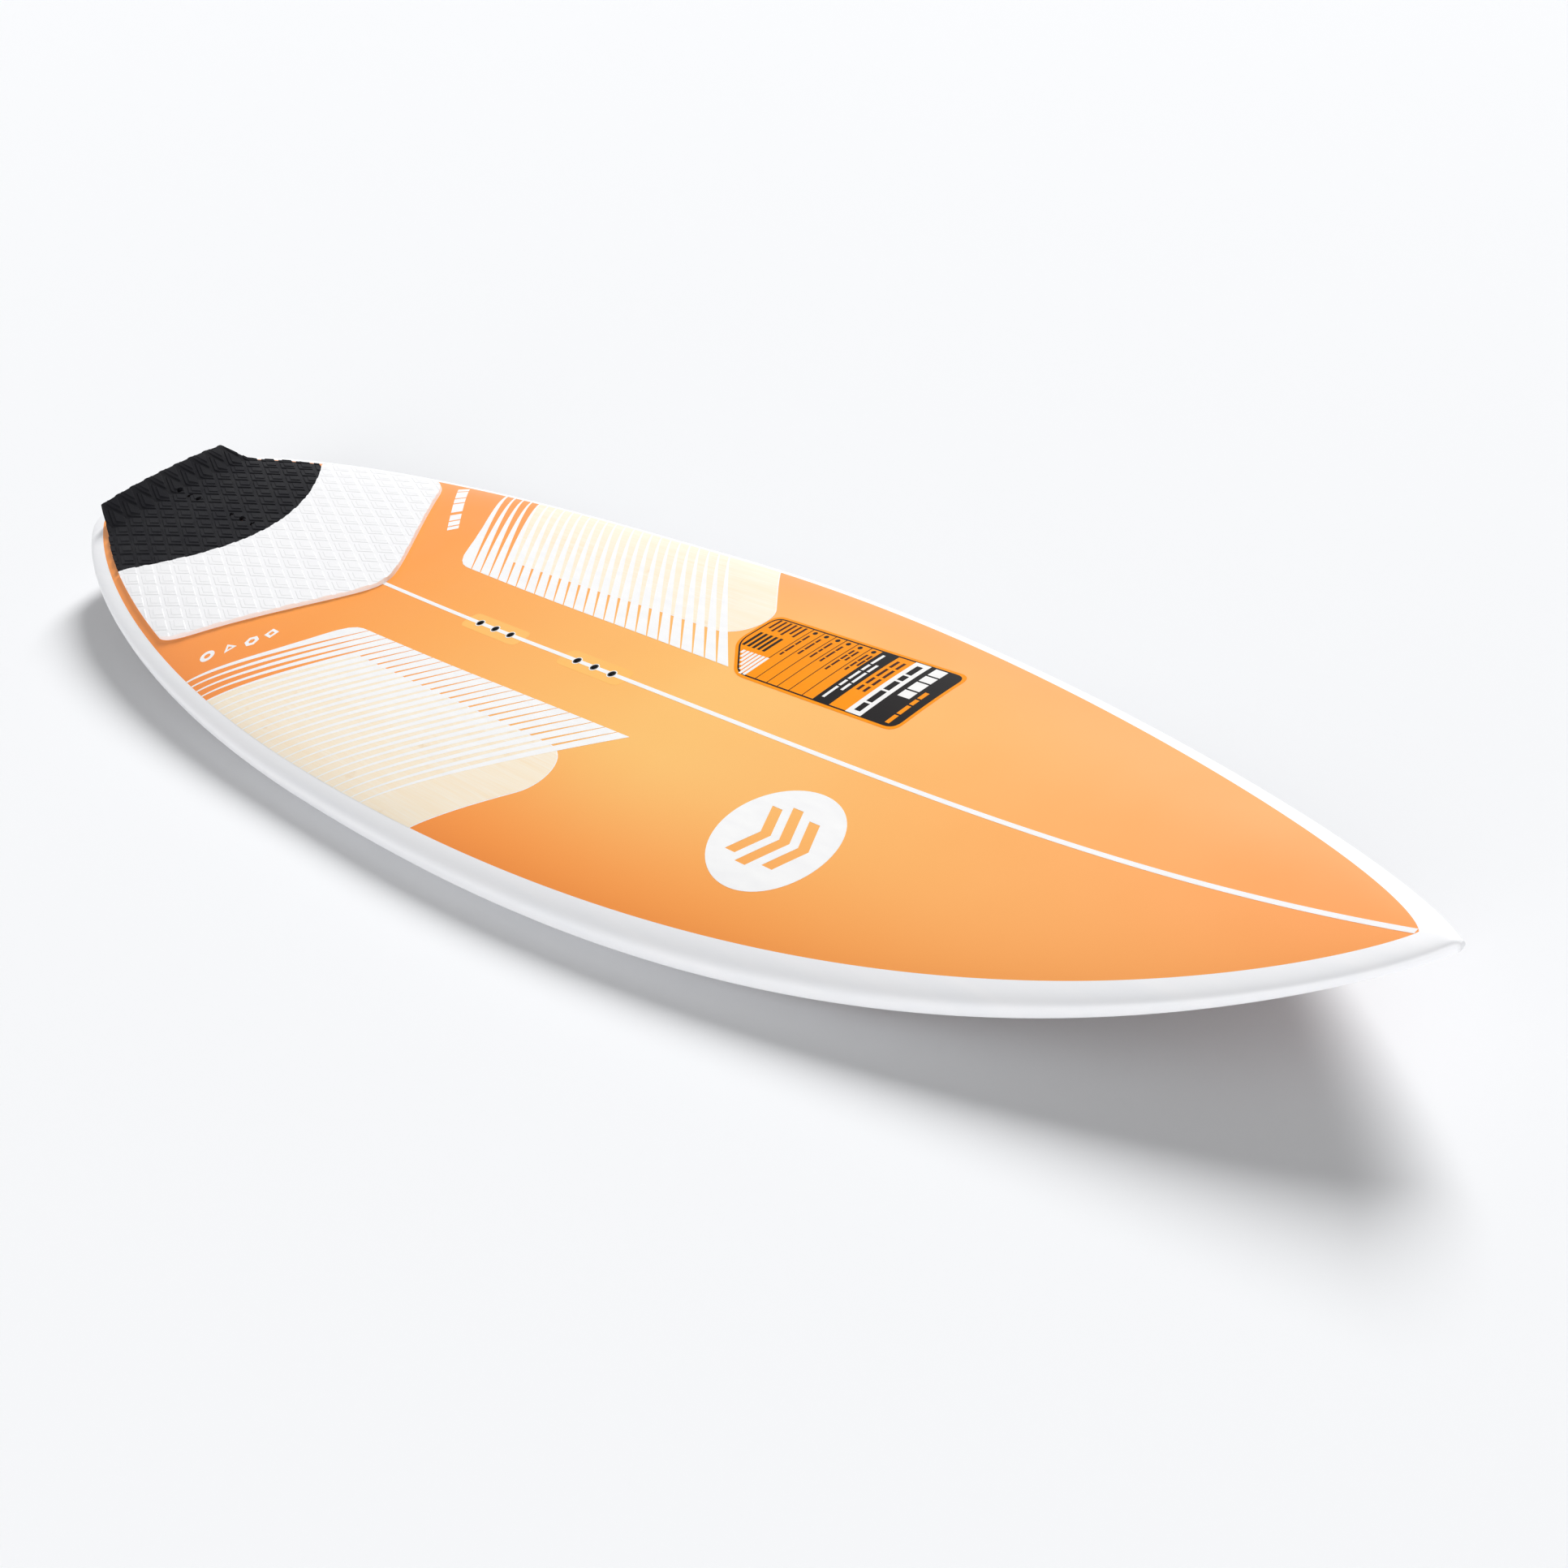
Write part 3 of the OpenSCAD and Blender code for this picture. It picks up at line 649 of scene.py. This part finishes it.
def rail_profile(x, column):
    """A point round the rail: out over the top, round the apex and back under to the bottom."""
    inner = np.where((x < deck_tail_x) | (x > deck_nose_x), 0, deck_half(x))
    under = column > rail_steps
    step = np.where(under, 2 * rail_steps - column, column) / rail_steps
    power = np.where(under, bottom_power, deck_power)
    start = np.arcsin((inner / outline(x)) ** (power / 2))
    angle = start + (math.pi / 2 - start) * step
    y = np.where(step == 0, inner, outline(x) * np.sin(angle) ** (2 / power))
    return y, np.where(under, bottom_z(x, y), deck_z(x, y))


def make_rail(side, name):
    loop = 2 * rail_steps + 2

    def place(row, column):
        x = rail_x[row]
        y, z = rail_profile(x, np.where(column == loop - 1, 0, column))
        return x, side * y, z
    rail = lattice(name, len(rail_x), loop, place)
    close_ends(rail)
    smooth(rail)
    finish_piece(rail, "rail_lacquer", rail_white, name.replace("white_", ""))


# ---------------------------------------------------------------------------------------------
# Thin layers on the deck: veneer, paint and print, each cut from a sheet on the deck's own grid
# ---------------------------------------------------------------------------------------------

def layer(name, outlines, lift, slot, look, holes=(), hole_r=0.0, inner=(), nodes=(), sink=0.05):
    """A layer over flat outlines, from sink below the deck's surface to lift above it, in mm."""
    corners = np.array([p for points in outlines for p in points])
    spare = 25 * MM
    rows = np.flatnonzero((deck_x > corners[:, 0].min() - spare)
                          & (deck_x < corners[:, 0].max() + spare))
    widest = deck_half(deck_x[rows]).max()
    narrowest = max(deck_half(deck_x[rows]).min(), 1 * MM)
    low_y, high_y = corners[:, 1].min(), corners[:, 1].max()
    low_share = low_y / (widest if low_y > 0 else narrowest)
    high_share = high_y / (narrowest if high_y > 0 else widest)
    inside = np.flatnonzero((column_share >= low_share) & (column_share <= high_share))
    columns = np.arange(max(inside.min() - 1, 0), min(inside.max() + 2, len(column_share)))
    sheet = deck_grid(name, lift * MM, rows, columns)
    edit(sheet, raised(-(lift + sink) * MM), OUTWARDS)
    cut(sheet, join([prism(points) for points in outlines], "cutter"), "INTERSECT")
    if inner:
        cut(sheet, join([prism(points) for points in inner], "inner"), "DIFFERENCE")
    if holes:
        drill(sheet, holes, hole_r)
    smooth(sheet)
    return finish_piece(sheet, slot, look, *nodes)


# How far each layer stands above the deck, in mm: it lies on the layers that stand lower
patch_lift, window_edge_lift, window_lift, print_lift = 0.08, 0.09, 0.16, 0.2
halo_lift, comb_lift, seal_lift = 0.24, 0.26, 0.3
border_lift, band_lift, mark_lift, white_band_lift = 0.26, 0.28, 0.3, 0.32
light_word_lift, band_word_lift = 0.36, 0.4

# Combs of tapering stripes that run aft as they run out to the rails
stripes = 26
comb_rear_x = -233.7 * MM
comb_pitch = 16.73 * MM
rail_pitch = 15.6 * MM
comb_rail_x = -364 * MM
comb_rail_y = 213 * MM
stripe_gap = 2 * MM
stripe_end_w = 1.2 * MM
stripe_steps = 8


def comb_inner_y(x):
    return 66 * MM - 8 * MM * share(x, comb_rear_x, 200 * MM)


def comb_stripe(k):
    """One stripe, from its wide square end near the middle to its thin end past the rail."""
    past = 1.12
    rear = comb_rear_x + comb_pitch * k
    rail_rear = comb_rail_x + rail_pitch * k
    inner_y = float(comb_inner_y(rear))

    def at(start, end, t):
        return start + (end - start) * t
    y_end = at(inner_y, comb_rail_y, past)
    far_rear = at(rear, rail_rear, past)
    slope = (rail_rear - rear) / (comb_rail_y - inner_y)
    front_inner_y = inner_y - 0.3 * MM
    front = rear + comb_pitch - stripe_gap + slope * (front_inner_y - inner_y)
    steps = np.linspace(0, 1, stripe_steps + 1)
    rear_edge = [(at(rear, far_rear, t), at(inner_y, y_end, t)) for t in steps]
    front_edge = [(at(front, far_rear + stripe_end_w, t), at(front_inner_y, y_end, t))
                  for t in reversed(steps)]
    return rear_edge + front_edge


def first_stripe():
    """The rearmost stripe, which follows the round rear corner of the comb."""
    front_edge = comb_stripe(0)[stripe_steps + 1:]
    corner = [(-228, 66), (-237, 68), (-246, 73), (-255, 81.5), (-263, 92), (-276, 110),
              (-296, 135), (-320, 162), (-345, 190), (-363.5, 212)]
    past_rail = (front_edge[0][0] - stripe_end_w, front_edge[0][1])
    return [(x * MM, y * MM) for x, y in corner] + [past_rail] + front_edge


def make_combs():
    outlines = [first_stripe()] + [comb_stripe(k) for k in range(1, stripes)]
    layer("comb_port", outlines, comb_lift, "deck_lacquer", white_paint)
    layer("comb_starboard", [mirrored(p) for p in outlines], comb_lift, "deck_lacquer",
          white_paint)


# Bamboo windows, with a fine pale border along the front edge
window_inner_y = 99 * MM
window_rear_x = -191 * MM
window_front_x = 138 * MM
window_corner_r = 32 * MM
window_rake = 0.96
window_edge_w = 0.9 * MM
past_rail_y = half_width + 40 * MM


def window_outline(grow=0.0):
    corner_y = window_inner_y + window_corner_r
    r = window_corner_r + grow
    half_turn = math.radians(45)
    arc = [(window_front_x + r * math.cos(a), corner_y + r * math.sin(a))
           for a in np.linspace(-math.pi / 2, half_turn, 16)]
    end_x, end_y = arc[-1]
    outer_y = past_rail_y
    inner_y = window_inner_y - grow
    rear = window_rear_x - grow
    rear_outer = (rear - window_rake * (outer_y - inner_y), outer_y)
    return [rear_outer, (rear, inner_y)] + arc + [(end_x - (outer_y - end_y), outer_y)]


def make_windows():
    for side, turn in (("port", list), ("starboard", mirrored)):
        layer("bamboo_" + side, [turn(window_outline())], window_lift, "bamboo_veneer", bamboo,
              nodes=["bamboo_window_" + side])
        layer("window_edge_" + side, [turn(window_outline(window_edge_w))], window_edge_lift,
              "deck_lacquer", white_paint)


stripe_w = 4.3 * MM


def make_centre_line():
    pad_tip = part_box("pad_front")[1].x
    start = pad_tip - 4 * MM
    end = deck_nose_x - 1.5 * MM
    half = stripe_w / 2
    layer("centre_line", [[(start, -half), (end, -half), (end, half), (start, half)]],
          print_lift, "deck_lacquer", white_paint, front_holes, deck_hole_r)


def make_hole_rims():
    """A white ring of bare laminate round each front hole, and a dark seal with a sleeve that
    lines the hole."""
    halo_r, halo_hole_r, seal_r, seal_hole_r, liner_hole_r = (
        r * MM for r in (5.2, 4.2, 4.25, 3.68, 3.3))
    layer("hole_halos", [ring_points(x, y, halo_r) for x, y in front_holes], halo_lift,
          "deck_lacquer", white_paint, front_holes, halo_hole_r)
    layer("hole_seals", [ring_points(x, y, seal_r) for x, y in front_holes], seal_lift,
          "insert_plastic", nylon, front_holes, seal_hole_r)
    layer("hole_liners", [ring_points(x, y, seal_hole_r) for x, y in front_holes], seal_lift,
          "insert_plastic", nylon, front_holes, liner_hole_r, sink=2.6)


def make_block_patches():
    """Where the lacquer lies straight on a reinforcing block, it looks a shade more yellow."""
    half_l, half_w = 47.5 * MM, 12 * MM
    centres = [front_holes[1][0], front_holes[4][0]]
    outlines = [rounded([(x - half_l, -half_w), (x + half_l, -half_w),
                         (x + half_l, half_w), (x - half_l, half_w)], 9 * MM) for x in centres]
    layer("block_patches", outlines, patch_lift, "deck_lacquer", block_orange, front_holes,
          deck_hole_r)


def chevron(x, y, half_span, depth, thick):
    """A chevron that points forward."""
    return [(x - depth, y - half_span), (x - depth + thick, y - half_span), (x + thick, y),
            (x - depth + thick, y + half_span), (x - depth, y + half_span), (x, y)]


def make_emblem():
    """A plain disc with three chevrons left out of it."""
    x, y, r = 410 * MM, -90 * MM, 54 * MM
    gaps = [chevron(x + shift * MM, y, span * MM, 0.5 * span * MM, 11 * MM)
            for shift, span in ((-16, 26), (4, 32), (24, 26))]
    layer("emblem", [ring_points(x, y, r, 72)], print_lift, "deck_lacquer", white_paint,
          inner=gaps)


def make_small_marks():
    """Four plain shapes in a row beside the starboard edge of the pad."""
    r = 8.5 * MM
    places = ((-329, -121, 4), (-340, -140, 6), (-357, -159, 3), (-373, -179, 24))
    outlines = [ring_points(x * MM, y * MM, r, n, math.radians(45)) for x, y, n in places]
    inner = [ring_points(x * MM, y * MM, r * 0.45, n, math.radians(45)) for x, y, n in places]
    layer("small_marks", outlines, print_lift, "deck_lacquer", white_paint, inner=inner)


def make_edge_bars():
    """A row of plain bars of different lengths beside the port edge of the pad."""
    start, end = Vector((-431, 191)) * MM, Vector((-327, 107)) * MM
    along = (end - start).normalized()
    across = Vector((-along.y, along.x))
    height = 13 * MM
    outlines, run = [], 0.0
    for length, gap in ((9, 3), (22, 3), (14, 3), (26, 8), (16, 3), (12, 3), (8, 0)):
        a = start + along * run * MM
        b = start + along * (run + length) * MM
        outlines.append([tuple(p) for p in (a, b, b + across * height, a + across * height)])
        run += length + gap
    layer("edge_bars", outlines, print_lift, "deck_lacquer", white_paint)


# The deck label, laid out from its rear inner corner
label_low, label_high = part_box("deck_sticker")
label_l = label_high.x - label_low.x
label_w = label_high.y - label_low.y
label_cut = 42 * MM
# How far the ends of the cut corner move along, for each mm that the outline moves inwards
cut_shift = 0.41


def on_label(points):
    return [(label_low.x + x * MM, label_low.y + y * MM) for x, y in points]


def label_box(x0, x1, y0, y1):
    return on_label([(x0, y0), (x1, y0), (x1, y1), (x0, y1)])


def label_outline(inset, corner):
    """The label's outline moved inwards, with round corners. Its rear inner corner is cut off."""
    front, port = label_l / MM - inset, label_w / MM - inset
    cut_end = label_cut / MM + cut_shift * inset
    return rounded(on_label([(cut_end, inset), (front, inset), (front, port), (inset, port),
                             (inset, cut_end)]), corner * MM)


def label_layer(name, outlines, lift, look, inner=()):
    layer(name, outlines, lift, "sticker_vinyl", look, inner=inner)


def dashes(x, height, end, lengths, gap=1.6):
    """A line of plain dashes that stand for words, laid out back from its end."""
    boxes = []
    for length in lengths:
        boxes.append(label_box(x, x + height, end - length, end))
        end -= length + gap
    return boxes


def make_label():
    """Everything on the label is laid out in mm from its rear inner corner."""
    layer("label_sheet", [label_outline(0, 12)], print_lift, "sticker_vinyl", label_orange,
          nodes=["deck_sticker"])
    border_out, border_in = 3, 4.6
    label_layer("label_border", [label_outline(border_out, 11)], border_lift, label_black,
                inner=[label_outline(border_in, 10.5)])

    # Bands across the label, inside its border
    side = border_out + 0.2
    band_low, band_high = 4, 91
    front, port = label_l / MM - side, label_w / MM - side
    title_band = rounded(label_box(178, front, side, port), 10 * MM)
    slogan_band = label_box(135, 154, band_low, band_high)
    label_layer("label_bands", [title_band, slogan_band], band_lift, label_black)
    label_layer("label_white_band", [label_box(173, 190, band_low, band_high)], white_band_lift,
                label_white)

    # Thin rules with a dot near the end of each
    rules, rule_w = (51, 65, 79, 92, 106, 122), 0.9
    label_layer("label_rules", [label_box(x, x + rule_w, band_low, band_high) for x in rules],
                band_lift, label_brown)
    dots = [ring_points(*on_label([(x + 6.5, 86)])[0], 2.4 * MM, 12) for x in rules]

    # Dashes for the lines of words: between the rules, in the size table and at the rear
    words = []
    for x, lengths in ((55, (9, 7, 11, 5)), (69, (6, 12, 7)), (83, (10, 5, 9)), (96, (8, 11, 6)),
                       (110, (7, 8, 10, 6)), (115, (9, 6)), (126, (12, 8, 5)), (131, (7, 10))):
        words += dashes(x, 2.4, 80, lengths)
    for x in (158, 165):
        words += dashes(x, 3, 84, (11, 13, 10, 8), 3)
    for x, length in ((10, 16), (16.5, 19), (23, 17), (29.5, 20), (36, 15), (42.5, 18)):
        words.append(label_box(x, x + 2.6, 89 - length, 89))
    label_layer("label_words", words, mark_lift, label_brown)

    # Black bars and a corner of white hatching beside them
    bar_w = 3.4
    bars = [label_box(x, x + bar_w, 40, 64) for x in (10, 16.5, 23, 29.5, 36)]
    label_layer("label_black_marks", dots + bars, mark_lift, label_black)
    hatch = []
    for k in range(9):
        x = 9 + 5 * k
        start, end = 4 + max(0.0, 44 - x), 34 - max(0.0, x - 50)
        if start < end - 1:
            hatch.append(label_box(x, x + bar_w, start, end))
    label_layer("label_hatch", hatch, mark_lift, label_white)

    # Dashes on the bands
    slogan = dashes(139.5, 3, 86, (16, 10, 14, 9, 18), 2) + dashes(146.5, 3, 70, (12, 17, 11), 2)
    title = dashes(196, 13, 90, (11, 9, 12, 10), 2)
    label_layer("label_light_words", slogan + title, light_word_lift, label_white)
    label_layer("label_small_title", dashes(214, 4.5, 56, (10, 8, 13, 12), 2), light_word_lift,
                label_orange)
    label_layer("label_band_words", dashes(178.5, 6.5, 86, (15, 8, 14, 18, 12), 2.5),
                band_word_lift, label_black)


# ---------------------------------------------------------------------------------------------
# Tail pad: two sheets of moulded foam with a tread of raised diamonds
# ---------------------------------------------------------------------------------------------

pad_t = 5 * MM
pad_rear_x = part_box("pad_rear")[0].x
pad_tip_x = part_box("pad_front")[1].x
pad_joint_x = tail_x + 324 * MM
kick_l = 34 * MM
kick_h = 24 * MM
pad_margin = 10 * MM
tread_angle = math.radians(21)
tread_pitch = 19.5 * MM
groove_half = 1.9 * MM
groove_wall = 0.8 * MM
ledge_w = 4.4 * MM
groove_depth = 2.3 * MM
ledge_depth = 1.0 * MM
# Aft of this the board's end is rounded off, so the sheet keeps the height that it has here
first_sound_x = tail_x + 5 * MM


def tread_relief(x, drop, depth):
    """How far a place of the tread lies below its tops, which run out into the kick's rim."""
    return drop * depth * share(x, pad_rear_x + 3 * MM, pad_rear_x + 9 * MM)


def pad_height(x):
    """How far the pad's top stands above the deck, which rises to the kick at the tail."""
    return pad_t + (kick_h - pad_t) * share(x, pad_rear_x + kick_l, pad_rear_x)


# Where a block starts and ends across one pitch, with how far each place lies below the top
TREAD = [(0, groove_depth), (groove_half, groove_depth), (groove_half + groove_wall, ledge_depth),
         (groove_half + ledge_w, ledge_depth), (groove_half + ledge_w + groove_wall, 0),
         (tread_pitch - groove_half - groove_wall, 0), (tread_pitch - groove_half, groove_depth)]


def tread_sheet(name, low_x, high_x, depth):
    """A closed sheet of tread over the pads between two places along the board."""
    spread = math.sin(tread_angle), math.cos(tread_angle)
    reach, edge, glue_line = 0.2, 14 * MM, 0.02 * MM
    first = math.floor((-high_x * spread[0] - reach) / tread_pitch)
    last = math.ceil((-low_x * spread[0] + reach) / tread_pitch)
    marks, marks_b = (np.array([(k * tread_pitch + at, drop) for k in range(*pitches)
                                for at, drop in TREAD])
                      for pitches in ((first, last), (-last, -first)))

    def place(row, column):
        a, b = marks[row, 0], marks_b[column, 0]
        x = (b - a) / (2 * spread[0])
        y = (a + b) / (2 * spread[1])
        drop = np.maximum(marks[row, 1], marks_b[column, 1])
        near = np.clip(x, first_sound_x, nose_x)
        z = deck_z(near, y) + pad_height(x) - tread_relief(x, drop, depth)
        return x, y, z
    sheet = lattice(name, len(marks), len(marks_b), place)
    only(sheet)
    bpy.ops.object.mode_set(mode="EDIT")
    bpy.ops.mesh.select_all(action="DESELECT")
    bpy.ops.object.mode_set(mode="OBJECT")
    centres = np.empty(len(sheet.data.polygons) * 3)
    sheet.data.polygons.foreach_get("center", centres)
    centres = centres.reshape(-1, 3)
    away = ((centres[:, 0] < low_x - edge) | (centres[:, 0] > high_x + edge)
            | (np.abs(centres[:, 1]) > deck_half(np.clip(centres[:, 0], deck_tail_x, 0)) + edge))
    sheet.data.polygons.foreach_set("select", away)
    bpy.ops.object.mode_set(mode="EDIT")
    bpy.ops.mesh.delete(type="FACE")
    bpy.ops.object.mode_set(mode="OBJECT")
    top = len(sheet.data.vertices)
    edit(sheet, raised(-0.001))
    co = points_of(sheet)
    under = np.arange(len(co)) >= top
    lower = deck_z(np.clip(co[:, 0], first_sound_x, nose_x), co[:, 1])
    co[under, 2] = lower[under] + glue_line
    move_points(sheet, co)
    edit(sheet, OUTWARDS)
    return sheet


def pad_side():
    """The port edge of the pads, a margin inside the edge of the deck."""
    x = np.linspace(pad_rear_x, pad_tip_x, 60)
    return [(float(a), float(deck_half(a)) - pad_margin) for a in x]


def pad_front_x(y):
    """The front edge of the white pad: two raked edges with a round tip between them."""
    rake, tip_r = 0.97, 22 * MM
    return pad_tip_x - rake * (math.sqrt(y * y + tip_r ** 2) - tip_r)


def joint_x(y):
    """The joint of the two pads, which bows forward on the centreline."""
    bow = 5.6
    return pad_joint_x - bow * y * y


def pad_outlines():
    """Outlines of the front and rear pads, with their outer front corners rounded."""
    side = pad_side()
    before_corner, after_corner = 24 * MM, 30 * MM
    front_y = [k * 4 * MM for k in range(60)]
    corner = next(k for k, (x, y) in enumerate(side) if pad_front_x(y) < x)
    corner_y = side[corner][1]
    tip = [(pad_front_x(y), y) for y in reversed(front_y) if y < corner_y - after_corner]
    joint = [(x, y) for x, y in side if x < joint_x(y)]
    front_side = [p for p in side[len(joint):corner] if p[0] < side[corner][0] - before_corner]
    turn_start, turn_end = Vector(front_side[-1]), Vector(tip[0])
    peak = Vector((pad_front_x(corner_y), corner_y))
    curve = [tuple(turn_start * (1 - t) ** 2 + peak * 2 * t * (1 - t) + turn_end * t ** 2)
             for t in np.linspace(0.08, 0.92, 11)]
    joint_y = joint[-1][1]
    seam = [(joint_x(y), y) for y in np.linspace(joint_y, -joint_y, 40)]
    half = front_side + curve + tip
    front = half + mirrored(half)[1:] + list(reversed(seam))
    rear = joint + seam[1:-1] + mirrored(joint)
    return front, rear


def make_pads():
    front, rear = pad_outlines()
    pads = (("pad_white", front, pad_joint_x - 0.2, pad_tip_x, "pad_foam_white", eva_white,
             "pad_front", 0.33),
            ("pad_black", rear, pad_rear_x, pad_joint_x, "pad_foam_black", eva_black, "pad_rear",
             1.0))
    for name, points, low, high, slot, look, node, depth in pads:
        pad = tread_sheet(name, low, high, depth)
        cut(pad, prism(points), "INTERSECT")
        if name == "pad_black":
            drill(pad, rear_holes, 4 * MM)
        smooth(pad, 20)
        finish_piece(pad, slot, look, node)


# ---------------------------------------------------------------------------------------------
# Threaded bushes: a chamfered tube with a cut M6 thread
# ---------------------------------------------------------------------------------------------

thread_pitch = 1 * MM


def make_bushes(trio):
    low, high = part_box("threaded_bushes_" + trio)
    r = (high.y - low.y) / 2
    bore_r = 2.95 * MM
    steps = 24
    turns = int((high.z - low.z) / thread_pitch) - 2
    objects = []
    for x in (low.x + r, (low.x + high.x) / 2, high.x - r):
        root_r, crest_r = 3 * MM, 2.55 * MM
        profile = [(root_r, 0.06), (crest_r, 0.5), (root_r, 0.94), (root_r, 0.06)]
        rows = turns * steps + 1

        def place(row, column, x=x):
            angle = 2 * math.pi * row / steps
            rad = np.array([p[0] for p in profile])[column]
            up = np.array([p[1] for p in profile])[column]
            rise = low.z + thread_pitch * (row / steps + 0.5 + up)
            return x + rad * np.cos(angle), rad * np.sin(angle), rise
        thread = lattice("thread", rows, len(profile), place)
        close_ends(thread)
        deselect()
        bpy.ops.mesh.primitive_cylinder_add(vertices=48, radius=r, depth=high.z - low.z,
                                            location=(x, 0, (low.z + high.z) / 2))
        tube = bpy.context.object
        bpy.ops.object.transform_apply(location=True)
        bore = prism(ring_points(x, 0, bore_r, 48), low.z - MM, high.z + MM)
        cut(tube, bore, "DIFFERENCE")
        modify(tube, "BEVEL", width=0.35 * MM, segments=2, limit_method="ANGLE")
        objects += [tube, thread]
    bushes = join(objects, "thread_bushes_" + trio)
    smooth(bushes)
    finish_piece(bushes, "stainless", stainless, "threaded_bushes_" + trio)


# ---------------------------------------------------------------------------------------------
# CAD nodes that stay as they are
# ---------------------------------------------------------------------------------------------

def dress_cad_nodes():
    looks = (("foam_core", core_foam), ("stringer", plywood), ("insert_block", block_foam),
             ("insert_sleeves", nylon), ("fin_box", nylon), ("fin_screws", stainless))
    for name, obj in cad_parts.items():
        for start, look in looks:
            if name.startswith(start):
                obj.data.materials.clear()
                obj.data.materials.append(look)


# ---------------------------------------------------------------------------------------------
# Floor, light and camera
# ---------------------------------------------------------------------------------------------

backdrop_colour = srgb("#f8f9fb")
world_level = 0.18
# Which way each lamp shines, its strength, and how many degrees wide it looks: a key light from
# behind the port rail, and a low broad one from ahead to starboard
LAMPS = (((0.42, -1.2, -1), 3.15, 24), ((-0.5, 0.85, -0.27), 1.9, 60))


def make_floor():
    deselect()
    bpy.ops.mesh.primitive_plane_add(size=60, location=(0, 0, -0.0005))
    floor = bpy.context.object
    floor.name = "floor"
    material = start_finish("plain_pale_floor", Roughness=0.95, Base_Color=backdrop_colour)[0]
    floor.data.materials.append(material)


def make_world():
    """Even white light on the board, and a pale backdrop for the camera, gloss and glass."""
    world = bpy.data.worlds.new("studio")
    world.use_nodes = True
    tree = world.node_tree
    light = tree.nodes["Background"]
    light.inputs["Color"].default_value = srgb("#ffffff")
    light.inputs["Strength"].default_value = world_level
    backdrop = add(tree, "ShaderNodeBackground", {"Color": backdrop_colour, "Strength": 1.0})
    path = add(tree, "ShaderNodeLightPath").outputs
    mirror = add(tree, "ShaderNodeMath", {0: path["Is Glossy Ray"], 1: path["Is Transmission Ray"]},
                 operation="MAXIMUM").outputs[0]
    seen = add(tree, "ShaderNodeMath", {0: path["Is Camera Ray"], 1: mirror},
               operation="MAXIMUM").outputs[0]
    mix = add(tree, "ShaderNodeMixShader",
              {0: seen, 1: light.outputs[0], 2: backdrop.outputs[0]}).outputs[0]
    tree.links.new(mix, tree.nodes["World Output"].inputs["Surface"])
    bpy.context.scene.world = world


def make_lamps():
    for travel, strength, spread in LAMPS:
        deselect()
        bpy.ops.object.light_add(type="SUN")
        sun = bpy.context.object
        sun.rotation_euler = Vector(travel).to_track_quat("-Z", "Y").to_euler()
        sun.data.energy = strength
        sun.data.angle = math.radians(spread)


def make_camera():
    """A camera ahead of the board to starboard, that looks down on it and is a little rolled."""
    turn, look_down, roll = 54.32, 34.36, -16.08
    place = Vector((1151.8, -593.7, 710.7)) * MM
    deselect()
    bpy.ops.object.camera_add()
    camera = bpy.context.object
    camera.matrix_world = (Matrix.Translation(place)
                           @ Matrix.Rotation(math.radians(turn), 4, "Z")
                           @ Matrix.Rotation(math.radians(90 - look_down), 4, "X")
                           @ Matrix.Rotation(math.radians(roll), 4, "Z"))
    camera.data.sensor_width = 36
    camera.data.lens = 34.92
    camera.data.shift_x = -0.005
    camera.data.shift_y = -0.003
    camera.data.clip_end = 100
    bpy.context.scene.camera = camera
    bpy.context.scene.view_settings.view_transform = "Standard"


make_deck()
make_bottom()
make_rail(1, "white_rail_port")
make_rail(-1, "white_rail_starboard")
make_windows()
make_combs()
make_block_patches()
make_centre_line()
make_hole_rims()
make_emblem()
make_small_marks()
make_edge_bars()
make_label()
make_pads()
for trio_name in ("front_fore", "front_aft", "rear_fore", "rear_aft"):
    make_bushes(trio_name)
dress_cad_nodes()
make_floor()
make_world()
make_lamps()
make_camera()
